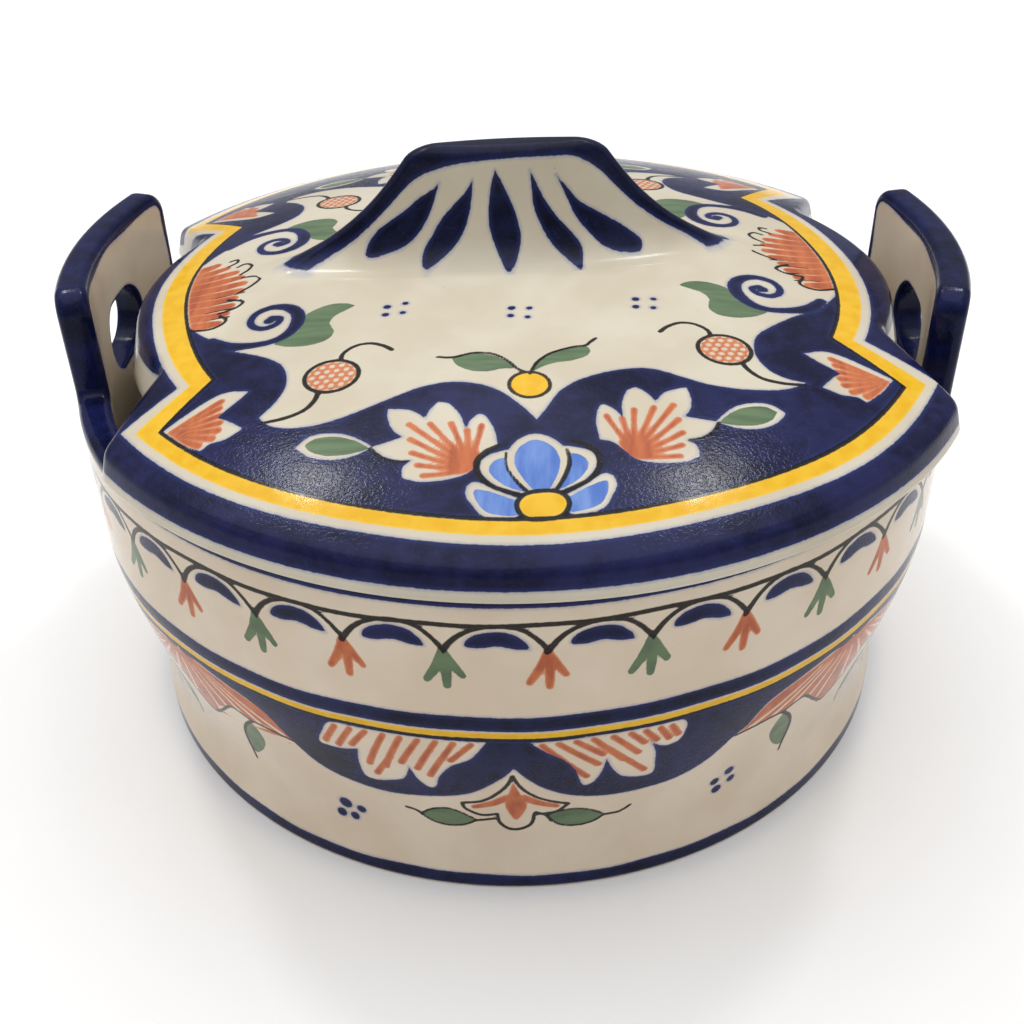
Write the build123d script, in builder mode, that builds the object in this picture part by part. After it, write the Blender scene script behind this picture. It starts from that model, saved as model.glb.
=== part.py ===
"""Round covered vegetable dish in tin-glazed earthenware: bowl, two upright handles and a lifting lid.

The frame is +Z up, with the origin on the table under the centre of the bowl. The handles stand at -X
and +X. The lid and its grip share a frame of their own, turned a little in its seat, as it was put down.
"""
import os
from math import cos, radians, sin, tan

from build123d import *

# Bowl, mm
wall_radius = 100.2       # outside of the upright band
wall_thickness = 7.0
rim_height = 86.5
waist_height = 56.0       # where the upright band ends and the wall draws in
neck_radius = 92.5        # narrowest outside radius
neck_height = 14.0
neck_softness = 11.0      # how far the wall runs upright from waist and neck before it bends
base_radius = 93.9
foot_height = 5.0
foot_width = 10.0
foot_rounding = 1.0
floor_thickness = 7.0
floor_corner = 7.0        # round between the floor and the inside wall

# Handles, mm and degrees
handle_rise = 23.8        # above the rim
handle_half_angle = 19.0
handle_corner = 5.5
handle_edge_round = 1.5
hole_width = 25.0
hole_height = 15.0
hole_above_rim = 1.2      # centre of the finger hole

# Lid, mm and degrees
lid_turn = 6.5            # how far the lid lies turned in its seat
lid_shift = 0.9           # and pushed towards +X
seat_gap = 0.3
lid_overhang = 3.6        # past the outside of the wall, front and back
lid_corner_round = 7.0
bulge_gap = 3.1           # between the lid's bulges and the handles
bulge_radius = 61.0
notch_clearance = 1.0     # between the lid's notches and the ends of the handles
notch_lean = 70.5         # of a notch's edge, from the X axis
notch_round = 3.0
rim_slope = 15.0          # degrees that the lid's edge leans inwards
rim_top_round = 3.5
rim_under_round = 1.0
lid_thickness = 6.0
crown_height = 20.2       # of the lid over its seat
crown_sag = 7.5           # broad part of the fall from crown to edge
shoulder_sag = 6.8        # part of the fall close to the edge
shoulder_power = 4
dome_steps = 7

# Locating flange under the lid, mm
flange_depth = 12.0
flange_wall = 6.0
flange_clearance = 2.0    # to the inside of the bowl
flange_inset = 2.0        # behind the lid's edge

# Grip, mm
grip_height = 24.6        # crest over the crown
grip_foot_drop = 5.0      # the foot runs on under the dome's surface before it is trimmed
grip_half_length = 60.0   # at that foot
grip_half_depth = 15.5
tail_half_depth = 1.6     # half the thickness of the ends
crest_half_length = 22.0
crest_half_depth = 4.4
crest_end_half_depth = 3.2
length_flare_power = 2.0  # how late the length spreads towards the foot
depth_flare_power = 2.4
grip_steps = 7
crest_round = 3.0         # in height and depth
crest_end_round = 8.0     # along the crest
crest_round_angles = (35, 60, 80)
grip_place = (-1.3, 2.0)  # off the lid's centre

inner_radius = wall_radius - wall_thickness
inner_neck_radius = neck_radius - wall_thickness
inner_neck_height = neck_height + floor_thickness
bulge_reach = inner_radius - lid_shift - bulge_gap
lid_radius = wall_radius + lid_overhang
floor_top = foot_height + floor_thickness
seat_height = rim_height + seat_gap
lid_angle = radians(lid_turn)
lid_plane = Plane(origin=(lid_shift, 0, 0), x_dir=(cos(lid_angle), sin(lid_angle), 0), z_dir=(0, 0, 1))
lid_profile_plane = Plane(origin=lid_plane.origin, x_dir=lid_plane.x_dir, z_dir=-lid_plane.y_dir)


def finger_holes():
    """Outline of the finger holes, which pass through both handles and the rim below them."""
    with BuildSketch(Plane.YZ, mode=Mode.PRIVATE) as outline:
        with Locations((0, rim_height + hole_above_rim)):
            SlotOverall(hole_width, hole_height)
    return outline.sketch


def dome_height(radius, drop=0.0):
    """Height of the lid's upper surface at a radius, less a drop."""
    share = radius / lid_radius
    sag = crown_sag * share**2 + shoulder_sag * share**shoulder_power
    return seat_height + crown_height - sag - drop


def dome_face(drop=0.0):
    """Half section under the dome and down past the seat, for a revolve about the lid's axis."""
    reach = lid_radius + wall_thickness
    bottom = seat_height - flange_depth
    radii = [reach * step / dome_steps for step in range(dome_steps + 1)]
    surface = [(radius, dome_height(radius, drop)) for radius in radii]
    with BuildSketch(mode=Mode.PRIVATE) as section:
        with BuildLine():
            Spline(*surface)
            Polyline(surface[-1], (reach, bottom), (0, bottom), surface[0])
        make_face()
    return section.sketch


def lid_outline(inset=0.0):
    """Plan of the lid: a disc with a notch for each handle, and a bulge that fills most of the notch."""
    handle_end = radians(handle_half_angle + lid_turn)
    end_x = inner_radius * cos(handle_end) - lid_shift
    end_y = inner_radius * sin(handle_end) + notch_clearance / cos(radians(notch_lean))
    run = tan(radians(notch_lean))
    near_x = end_x - end_y / run / 2
    with BuildSketch(mode=Mode.PRIVATE) as outline:
        Circle(lid_radius)
        with BuildSketch(mode=Mode.PRIVATE) as notches:
            for side in (-1, 1):
                edge = [(side * x, end_y + (x - end_x) * run) for x in (near_x, lid_radius)]
                with BuildLine():
                    Polyline(*edge, *[(x, -y) for x, y in reversed(edge)], close=True)
                make_face()
            with Locations((bulge_radius - bulge_reach, 0), (bulge_reach - bulge_radius, 0)):
                Circle(bulge_radius, mode=Mode.SUBTRACT)
        add(notches.sketch, mode=Mode.SUBTRACT)
        tips = outline.vertices().sort_by(lambda vertex: abs(vertex.Y))
        fillet(tips[4:], lid_corner_round)
        fillet(outline.vertices().sort_by(lambda vertex: abs(vertex.Y))[:4], notch_round)
        if inset:
            offset(amount=-inset, kind=Kind.ARC)
    return outline.sketch


def flange_outline(inset=0.0):
    """Plan of the locating flange: round, but kept behind the lid's edge beside the handles."""
    with BuildSketch(mode=Mode.PRIVATE) as outline:
        Circle(inner_radius - flange_clearance - inset)
        add(lid_outline(flange_inset + inset), mode=Mode.INTERSECT)
    return outline.sketch


def grip_section(half_length, half_depth, half_end):
    """A pointed oval with blunt ends."""
    corner = half_length - half_end
    with BuildSketch(mode=Mode.PRIVATE) as section:
        with BuildLine():
            for side in (-1, 1):
                ThreePointArc((-side * corner, side * half_end), (0, side * half_depth),
                              (side * corner, side * half_end))
                ThreePointArc((side * corner, side * half_end), (side * half_length, 0),
                              (side * corner, -side * half_end))
        make_face()
    return section.sketch


def grip_levels():
    """Height, half length, half depth and half end of each section, from the foot up."""
    foot = seat_height + crown_height - grip_foot_drop
    shoulder = seat_height + crown_height + grip_height - crest_round
    for step in range(grip_steps + 1):
        rise = step / grip_steps
        reach = (1 - rise)**length_flare_power
        spread = (1 - rise)**depth_flare_power
        yield (foot + (shoulder - foot) * rise,
               crest_half_length + (grip_half_length - crest_half_length) * reach,
               crest_half_depth + (grip_half_depth - crest_half_depth) * spread,
               crest_end_half_depth + (tail_half_depth - crest_end_half_depth) * reach)
    for angle in crest_round_angles:
        inset = 1 - cos(radians(angle))
        yield (shoulder + crest_round * sin(radians(angle)),
               crest_half_length - crest_end_round * inset,
               crest_half_depth - crest_round * inset,
               crest_end_half_depth - crest_round * inset / 2)


def save(piece, label):
    piece.part.label = label
    export_step(piece.part, f"parts/{label}.step")


os.makedirs("parts", exist_ok=True)

# Foot ring
with BuildPart() as foot_ring:
    with BuildSketch():
        Circle(base_radius)
        Circle(base_radius - foot_width, mode=Mode.SUBTRACT)
    extrude(amount=foot_height)
    fillet(foot_ring.edges().group_by(Axis.Z)[0], foot_rounding)
save(foot_ring, "foot_ring")

# Bowl body
with BuildPart() as bowl_body:
    with BuildSketch(Plane.XZ) as wall_section:
        with BuildLine():
            Line((0, foot_height), (base_radius, foot_height))
            Bezier((base_radius, foot_height), (neck_radius, (foot_height + neck_height) / 2),
                   (neck_radius, neck_height))
            Bezier((neck_radius, neck_height), (neck_radius, neck_height + neck_softness),
                   (wall_radius, waist_height - neck_softness), (wall_radius, waist_height))
            Polyline((wall_radius, waist_height), (wall_radius, rim_height), (inner_radius, rim_height),
                     (inner_radius, waist_height))
            Bezier((inner_radius, waist_height), (inner_radius, waist_height - neck_softness),
                   (inner_neck_radius, inner_neck_height + neck_softness), (inner_neck_radius, inner_neck_height))
            Polyline((inner_neck_radius, inner_neck_height), (inner_neck_radius, floor_top), (0, floor_top),
                     (0, foot_height))
        make_face()
    revolve(axis=Axis.Z)
    fillet(bowl_body.edges().filter_by_position(Axis.Z, floor_top, floor_top), floor_corner)
    extrude(finger_holes(), amount=wall_radius + wall_thickness, both=True, mode=Mode.SUBTRACT)
save(bowl_body, "bowl_body")

# Handles
for side, label in ((180, "left_handle"), (0, "right_handle")):
    with BuildPart() as handle:
        with BuildSketch(Plane.XY.offset(rim_height)):
            with BuildLine():
                outer = CenterArc((0, 0), wall_radius, side - handle_half_angle, 2 * handle_half_angle)
                inner = CenterArc((0, 0), inner_radius, side - handle_half_angle, 2 * handle_half_angle)
                Line(outer @ 0, inner @ 0)
                Line(outer @ 1, inner @ 1)
            make_face()
        extrude(amount=handle_rise)
        fillet(handle.edges().filter_by(GeomType.LINE).group_by(Axis.Z)[-1], handle_corner)
        fillet(handle.faces().sort_by(Axis.Z)[-1].edges().filter_by(GeomType.CIRCLE), handle_edge_round)
        extrude(finger_holes(), amount=wall_radius + wall_thickness, both=True, mode=Mode.SUBTRACT)
    save(handle, label)

# Lid shell
with BuildPart() as lid_shell:
    with BuildSketch(lid_plane.offset(seat_height)):
        add(lid_outline())
    extrude(amount=crown_height, taper=rim_slope)
    with BuildSketch(lid_profile_plane):
        add(dome_face())
    revolve(axis=Axis(lid_plane.origin, lid_plane.z_dir), mode=Mode.INTERSECT)
    rim_edges = lid_shell.faces().sort_by(Axis.Z)[-1].edges()
    fillet(rim_edges, rim_top_round)
    fillet(lid_shell.faces().sort_by(Axis.Z)[0].edges(), rim_under_round)
    with BuildPart(mode=Mode.PRIVATE) as hollow:
        with BuildSketch(lid_plane.offset(seat_height)):
            add(flange_outline(flange_wall))
        extrude(amount=crown_height)
        with BuildSketch(lid_profile_plane):
            add(dome_face(lid_thickness))
        revolve(axis=Axis(lid_plane.origin, lid_plane.z_dir), mode=Mode.INTERSECT)
    add(hollow.part, mode=Mode.SUBTRACT)
save(lid_shell, "lid_shell")

# Locating flange
with BuildPart() as lid_flange:
    with BuildSketch(lid_plane.offset(seat_height)):
        add(flange_outline())
        add(flange_outline(flange_wall), mode=Mode.SUBTRACT)
    extrude(amount=-flange_depth)
save(lid_flange, "lid_flange")

# Grip
with BuildPart() as lid_grip:
    for height, half_length, half_depth, half_end in grip_levels():
        with BuildSketch(lid_plane.offset(height)):
            with Locations(grip_place):
                add(grip_section(half_length, half_depth, half_end))
    loft(ruled=True)
    add(lid_shell.part, mode=Mode.SUBTRACT)
save(lid_grip, "lid_grip")
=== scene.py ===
"""Looks of a round covered vegetable dish in painted tin-glazed earthenware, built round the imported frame.

Lengths are in mm until a mesh is made. Each surface has a flat plan for the painter: the lid's plan, the
unrolled wall and the grip's elevation. A pigment is an attribute that holds how far, in mm, a point lies
inside the nearest brushstroke (negative outside), and the glaze draws the strokes' edges from it.
"""
from math import atan2, ceil, cos, hypot, pi, radians, sin, tan

import bpy
import numpy as np
from mathutils import Matrix, Vector
from mathutils.geometry import delaunay_2d_cdt


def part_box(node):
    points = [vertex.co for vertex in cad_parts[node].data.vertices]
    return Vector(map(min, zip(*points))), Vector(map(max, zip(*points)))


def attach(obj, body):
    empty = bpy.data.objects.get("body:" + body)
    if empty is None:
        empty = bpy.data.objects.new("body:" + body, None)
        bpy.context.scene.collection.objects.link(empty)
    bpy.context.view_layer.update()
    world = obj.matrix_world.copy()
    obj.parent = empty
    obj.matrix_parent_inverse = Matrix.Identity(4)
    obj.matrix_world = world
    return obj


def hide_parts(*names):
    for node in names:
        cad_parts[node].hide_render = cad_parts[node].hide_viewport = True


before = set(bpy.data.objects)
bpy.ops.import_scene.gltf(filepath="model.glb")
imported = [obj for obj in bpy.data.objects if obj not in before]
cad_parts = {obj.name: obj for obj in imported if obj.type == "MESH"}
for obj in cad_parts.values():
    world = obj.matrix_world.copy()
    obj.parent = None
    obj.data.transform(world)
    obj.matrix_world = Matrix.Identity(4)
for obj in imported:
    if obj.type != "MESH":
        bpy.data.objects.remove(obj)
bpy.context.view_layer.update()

MM = 0.001


def cad_corner(node, end, axis):
    """A coordinate of a CAD node's box, in mm."""
    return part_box(node)[end][axis] / MM


# Sizes from the frame, mm
wall_radius = cad_corner("bowl_body", 1, 1)
rim_height = cad_corner("bowl_body", 1, 2)
foot_height = cad_corner("foot_ring", 1, 2)
base_radius = cad_corner("foot_ring", 1, 0)
handle_top = cad_corner("left_handle", 1, 2)
seat_height = cad_corner("lid_shell", 0, 2)
crown_height = cad_corner("lid_shell", 1, 2)
lid_shift = (cad_corner("lid_flange", 0, 0) + cad_corner("lid_flange", 1, 0)) / 2

# Bowl, mm, beyond what the boxes say
wall_thickness = 7.0
waist_height = 56.0
neck_radius = 92.5
neck_height = 14.0
neck_softness = 11.0
foot_width = 10.0
foot_rounding = 1.0
floor_thickness = 7.0
floor_corner = 7.0
edge_round = 2.0          # of the rim, the handles and the finger holes
handle_half_angle = radians(19)
handle_corner = 5.5
handle_root = 2.0         # fillet between the rim and a handle's end
hole_half_width = 12.5
hole_half_height = 7.5
hole_above_rim = 1.2
hole_round = 0.9
window_half_angle = radians(24)   # of the part of the wall that is meshed together with a handle
window_depth = 10.0               # how far that part reaches below the rim

# Lid, mm and radians
lid_turn = radians(6.5)
lid_radius = wall_radius + 3.53
lid_corner_round = 7.0
bulge_reach = wall_radius - wall_thickness - lid_shift - 3.1
bulge_radius = 61.0
notch_clearance = 1.0
notch_run = tan(radians(70.5))
notch_round = 3.0
rim_lean = radians(15)
rim_slope = tan(rim_lean)
rim_top_round = 3.5
rim_under_round = 1.0
lid_thickness = 6.0
flange_reach = wall_radius - wall_thickness - 2.0
flange_wall = 6.0
flange_inset = 2.0
crown_sag = 7.5
shoulder_sag = 6.8

# Grip, mm
grip_place = (-1.3, 2.0)
grip_foot = crown_height - 5.0
crest_height = crown_height + 24.5
crest_round = 3.0
grip_shoulder = crest_height - crest_round
grip_half_length, crest_half_length, grip_spread = 60.0, 22.6, 20.0
grip_half_depth, crest_half_depth = 15.5, 4.4
tail_half_depth, crest_end_half_depth = 1.6, 2.2
crest_end_round = 5.5
grip_fillet = 5.5
fillet_flare = 0.8        # how far the fillet spreads over the dome, as a share of its height

# Fineness of the painted meshes, mm
columns = 1200            # round the bowl, a multiple of 8
spacing = 0.5
edge_turns = (0, 22.5, 45, 67.5, 90)      # degrees, round the edges of the rim, the handles and the holes
underside_radii = (20, 40, 60, 78, 88)
inside_heights = (72, 68, 64, 60)
floor_radii = (70, 60, 50, 40, 30, 20, 10)
dome_inset = 5.4          # from the lid's edge to the even grid on its dome
hollow_shares = (1, 0.97, 0.9, 0.8, 0.65, 0.5, 0.35, 0.2, 0.08)
corner_steps = 9          # rows over the round between the lid's side and its dome

# What follows from these sizes
inner_radius = wall_radius - wall_thickness
middle_radius = (wall_radius + inner_radius) / 2
inner_neck_radius = neck_radius - wall_thickness
inner_neck_height = neck_height + floor_thickness
floor_top = foot_height + floor_thickness
handle_half_width = wall_radius * handle_half_angle
column_angles = np.arange(columns) * 2 * pi / columns - pi
window_columns = ceil(window_half_angle / (2 * pi / columns))
window_half_width = wall_radius * window_columns * 2 * pi / columns
edge_insets = [edge_round * (1 - cos(radians(turn))) for turn in edge_turns]
edge_depths = [edge_round * (1 - sin(radians(turn))) for turn in edge_turns]

# Kinds of surface in the wall's plan, whose rows hold arc length, height, kind and radius
OUTSIDE, EDGE, INSIDE, UNDERSIDE, FOOT = range(5)
INWARD = 10.0             # stands for well in from the lid's edge, and its negative for under the lid


# ---------------------------------------------------------------- lines in a plane
def bezier(points, count):
    """Points along a Bezier curve."""
    share = np.linspace(0, 1, count)[:, None]
    points = [np.asarray(point, float) + 0 * share for point in points]
    while len(points) > 1:
        points = [a + (b - a) * share for a, b in zip(points, points[1:])]
    return points[0]


def resampled(line, step, closed=False):
    """The line with its points spread evenly, about a step apart."""
    line = np.asarray(line, float)
    if closed:
        line = np.vstack([line, line[:1]])
    lengths = np.hypot(*np.diff(line, axis=0).T)
    line = line[np.append(True, lengths > 1e-9)]
    travel = np.append(0, np.cumsum(lengths[lengths > 1e-9]))
    count = max(2, ceil(travel[-1] / step) + 1)
    at = np.linspace(0, travel[-1], count)
    line = np.stack([np.interp(at, travel, axis) for axis in line.T], -1)
    return line[:-1] if closed else line


def arc(centre, radius, start, end, step=0.2):
    """Points of an arc between two angles in degrees."""
    count = max(3, ceil(abs(radians(end - start)) * radius / step))
    angles = np.radians(np.linspace(start, end, count))
    return np.stack([centre[0] + radius * np.cos(angles), centre[1] + radius * np.sin(angles)], -1)


def left_normals(line, closed=False):
    """Unit normals to the left of a line's direction."""
    if closed:
        ahead = np.roll(line, -1, 0) - np.roll(line, 1, 0)
    else:
        ahead = np.gradient(line, axis=0)
    ahead /= np.hypot(*ahead.T)[:, None]
    return np.stack([-ahead[:, 1], ahead[:, 0]], -1)


def trimmed(line, length):
    """The line less a length at its end."""
    steps = np.hypot(*np.diff(line, axis=0).T)
    travel = np.append(0, np.cumsum(steps))
    stop = travel[-1] - length
    keep = travel < stop
    end = np.array([np.interp(stop, travel, axis) for axis in line.T])
    return np.vstack([line[keep], end])


def rounded_corners(curves, radii):
    """A closed line through curves that meet at corners, each corner rounded to its radius."""
    pieces = []
    for index, (curve, radius) in enumerate(zip(curves, radii)):
        following = curves[(index + 1) % len(curves)]
        before = curve[-1] - curve[-2]
        after = following[1] - following[0]
        turn = abs((atan2(after[1], after[0]) - atan2(before[1], before[0]) + pi) % (2 * pi) - pi)
        pieces.append(radius * tan(turn / 2))
    line = []
    for index, curve in enumerate(curves):
        start_cut, end_cut = pieces[index - 1], pieces[index]
        curve = trimmed(curve, end_cut) if end_cut > 0 else curve
        curve = trimmed(curve[::-1], start_cut)[::-1] if start_cut > 0 else curve
        following = curves[(index + 1) % len(curves)]
        line.append(curve)
        if end_cut > 0:
            resumed = trimmed(following[::-1], end_cut)[-1]
            line.append(bezier([curve[-1], curves[index][-1], resumed], 12))
    return np.vstack(line)


def distance_to_line(points, line, closed=True):
    """Distance from each point to a line through its own points."""
    ends = np.roll(line, -1, 0) if closed else line[1:]
    starts = line if closed else line[:-1]
    best = np.full(len(points), np.inf)
    for a, b in zip(starts, ends):
        run = b - a
        share = np.clip(((points - a) @ run) / max(run @ run, 1e-12), 0, 1)
        off = points - a - share[:, None] * run
        np.minimum(best, np.einsum("ij,ij->i", off, off), out=best)
    return np.sqrt(best)


def inside_line(points, line):
    """Whether each point lies inside a closed line."""
    inside = np.zeros(len(points), bool)
    x, y = points.T
    for (ax, ay), (bx, by) in zip(line, np.roll(line, -1, 0)):
        crosses = (ay > y) != (by > y)
        if by != ay:
            inside ^= crosses & (x < (bx - ax) * (y - ay) / (by - ay) + ax)
    return inside


# ---------------------------------------------------------------- meshes
class Clay:
    """Vertices and faces of one piece, each vertex with four numbers that place it in the painter's plan."""

    def __init__(self):
        self.points, self.plans, self.faces, self.count = [], [], [], 0

    def put(self, points, plan):
        """Adds vertices and returns their numbers."""
        points = np.asarray(points, float).reshape(-1, 3)
        plan = np.broadcast_to(np.asarray(plan, float), (len(points), 4))
        self.points.append(points)
        self.plans.append(plan)
        self.count += len(points)
        return np.arange(self.count - len(points), self.count)

    def strip(self, first, second, closed=False, skip=None):
        """Quads between two rows of vertices."""
        if closed:
            first, second = np.append(first, first[0]), np.append(second, second[0])
        quads = np.stack([first[:-1], first[1:], second[1:], second[:-1]], -1)
        self.faces.append(quads if skip is None else quads[~skip])

    def fan(self, row, centre, turned=False):
        """Triangles from a closed row to a vertex beyond it."""
        ahead = np.roll(row, -1)
        first, second = (ahead, row) if turned else (row, ahead)
        self.faces.append(np.stack([first, second, np.full(len(row), centre)], -1))

    def patch(self, numbers, faces, turned=False):
        """Faces given by places in a list of vertex numbers."""
        for group in faces:
            group = numbers[group]
            self.faces.append(group[:, ::-1] if turned else group)


def knitted(loops, distance, step, origin=(0, 0)):
    """Vertices and faces that fill a plan between closed loops: quads on a grid, triangles at the loops.

    The vertices are those of the loops, in order, and then the grid's. distance gives how far inside the
    loops a point lies.
    """
    line = np.vstack(loops)
    low, high = line.min(0), line.max(0)
    across = [origin[axis] + step * np.arange(ceil((low[axis] - origin[axis]) / step),
                                              ceil((high[axis] - origin[axis]) / step)) for axis in (0, 1)]
    grid = np.stack(np.meshgrid(*across, indexing="ij"), -1)
    shape = grid.shape[:2]
    inside = distance(grid.reshape(-1, 2)).reshape(shape) > 0.45 * step
    full = inside[:-1, :-1] & inside[1:, :-1] & inside[1:, 1:] & inside[:-1, 1:]
    number = np.full(shape, -1)
    number[inside] = len(line) + np.arange(inside.sum())
    quads = np.stack([number[:-1, :-1], number[1:, :-1], number[1:, 1:], number[:-1, 1:]], -1)[full]
    vertices = np.vstack([line, grid[inside]])

    around = np.pad(full, 1)
    core = around[1:, 1:] & around[:-1, 1:] & around[1:, :-1] & around[:-1, :-1]
    loose = np.concatenate([np.arange(len(line)), number[inside & ~core]])
    local = {vertex: place for place, vertex in enumerate(loose)}
    edges, start = [], 0
    for loop in loops:
        ring = start + np.arange(len(loop))
        edges += list(zip(ring.tolist(), np.roll(ring, -1).tolist()))
        start += len(loop)
    for ours, theirs, a, b in (
        (around[1:, 1:-1], around[:-1, 1:-1], number[:, :-1], number[:, 1:]),
        (around[1:-1, 1:], around[1:-1, :-1], number[:-1, :], number[1:, :]),
    ):
        border = ours != theirs
        edges += [(local[p], local[q]) for p, q in zip(a[border].tolist(), b[border].tolist())]
    found = delaunay_2d_cdt([Vector(point) for point in vertices[loose]], edges, [], 0, 1e-6, True)
    triangles = np.array([[found[3][corner][0] for corner in face] for face in found[2]])
    middles = vertices[loose][triangles].mean(1)
    cell = np.floor((middles - [across[0][0], across[1][0]]) / step).astype(int)
    valid = (cell >= 0).all(1) & (cell < np.array(full.shape)).all(1)
    covered = np.zeros(len(middles), bool)
    covered[valid] = full[cell[valid, 0], cell[valid, 1]]
    keep = ~covered
    keep[keep] = distance(middles[keep]) > 0
    triangles = loose[triangles[keep]]
    a, b, c = vertices[triangles].transpose(1, 0, 2)
    area = (b - a)[:, 0] * (c - a)[:, 1] - (b - a)[:, 1] * (c - a)[:, 0]
    triangles[area < 0] = triangles[area < 0][:, ::-1]
    return vertices, [quads, triangles[np.abs(area) > 1e-9]]


def modelled(name, clay, body, nodes, crease=50, keep_faces=None, normals=None):
    """A Blender object from the clay, riding on a body and standing for its CAD nodes, and its plan."""
    points = np.vstack(clay.points)
    sizes = np.concatenate([np.full(len(group), group.shape[1]) for group in clay.faces])
    corners = np.concatenate([group.ravel() for group in clay.faces])
    if keep_faces is not None:
        starts = np.append(0, np.cumsum(sizes))[:-1]
        corners = np.concatenate([corners[starts[face]:starts[face] + sizes[face]] for face in keep_faces])
        sizes = sizes[keep_faces]
    used, corners = np.unique(corners, return_inverse=True)
    starts = np.append(0, np.cumsum(sizes))[:-1]
    mesh = bpy.data.meshes.new(name)
    mesh.vertices.add(len(used))
    mesh.vertices.foreach_set("co", (points[used] * MM).astype(np.float32).ravel())
    mesh.loops.add(len(corners))
    mesh.loops.foreach_set("vertex_index", corners.astype(np.int32))
    mesh.polygons.add(len(sizes))
    mesh.polygons.foreach_set("loop_start", starts.astype(np.int32))
    mesh.update(calc_edges=True)
    mesh.validate()
    mesh.polygons.foreach_set("use_smooth", np.ones(len(mesh.polygons), bool))
    mesh.set_sharp_from_angle(angle=radians(crease))
    if normals is not None:
        mesh.normals_split_custom_set_from_vertices(normals[used].tolist())
    piece = bpy.data.objects.new(name, mesh)
    bpy.context.scene.collection.objects.link(piece)
    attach(piece, body)
    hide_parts(*nodes)
    return piece, np.vstack(clay.plans)[used]


# ---------------------------------------------------------------- bowl
def wall_row(clay, radius, angle, height, kind):
    """Puts a row of vertices at angles from the front, towards +X."""
    angle, height = np.broadcast_arrays(angle, height)
    plan = np.stack([angle * wall_radius, height, 0 * angle + kind, 0 * angle + radius], -1)
    return clay.put(np.stack([radius * np.sin(angle), -radius * np.cos(angle), height], -1), plan)


def wall_outside():
    """Radius and height down the outside of the wall, from the foot to the rim."""
    return np.vstack([
        bezier([(base_radius, foot_height), (neck_radius, (foot_height + neck_height) / 2),
                (neck_radius, neck_height)], 20)[:-1],
        bezier([(neck_radius, neck_height), (neck_radius, neck_height + neck_softness),
                (wall_radius, waist_height - neck_softness), (wall_radius, waist_height)], 60)[:-1],
        [(wall_radius, waist_height), (wall_radius, rim_height)],
    ])


def wall_inside():
    """Radius and height down the inside of the wall and in along the floor."""
    corner = arc((inner_neck_radius - floor_corner, floor_top + floor_corner), floor_corner, 0, -90, 1.5)
    return np.vstack([
        [(inner_radius, rim_height), (inner_radius, waist_height)],
        bezier([(inner_radius, waist_height), (inner_radius, waist_height - neck_softness),
                (inner_neck_radius, inner_neck_height + neck_softness),
                (inner_neck_radius, inner_neck_height)], 14)[1:],
        corner,
    ])


def handle_edge():
    """The open edge of rim, handle and rim again in the unrolled wall, centred on the handle."""
    foot, top = handle_half_width + handle_root, handle_half_width - handle_corner
    half = np.vstack([
        [(-window_half_width, rim_height)],
        arc((-foot, rim_height + handle_root), handle_root, -90, 0),
        arc((-top, handle_top - handle_corner), handle_corner, 180, 90),
    ])
    return resampled(np.vstack([half, half[::-1] * (-1, 1)]), spacing)


def hole_edge():
    """The finger hole in the unrolled wall, counterclockwise."""
    reach = hole_half_width - hole_half_height
    middle = rim_height + hole_above_rim
    return resampled(np.vstack([
        arc((reach, middle), hole_half_height, -90, 90),
        arc((-reach, middle), hole_half_height, 90, 270),
    ]), spacing, closed=True)


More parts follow.
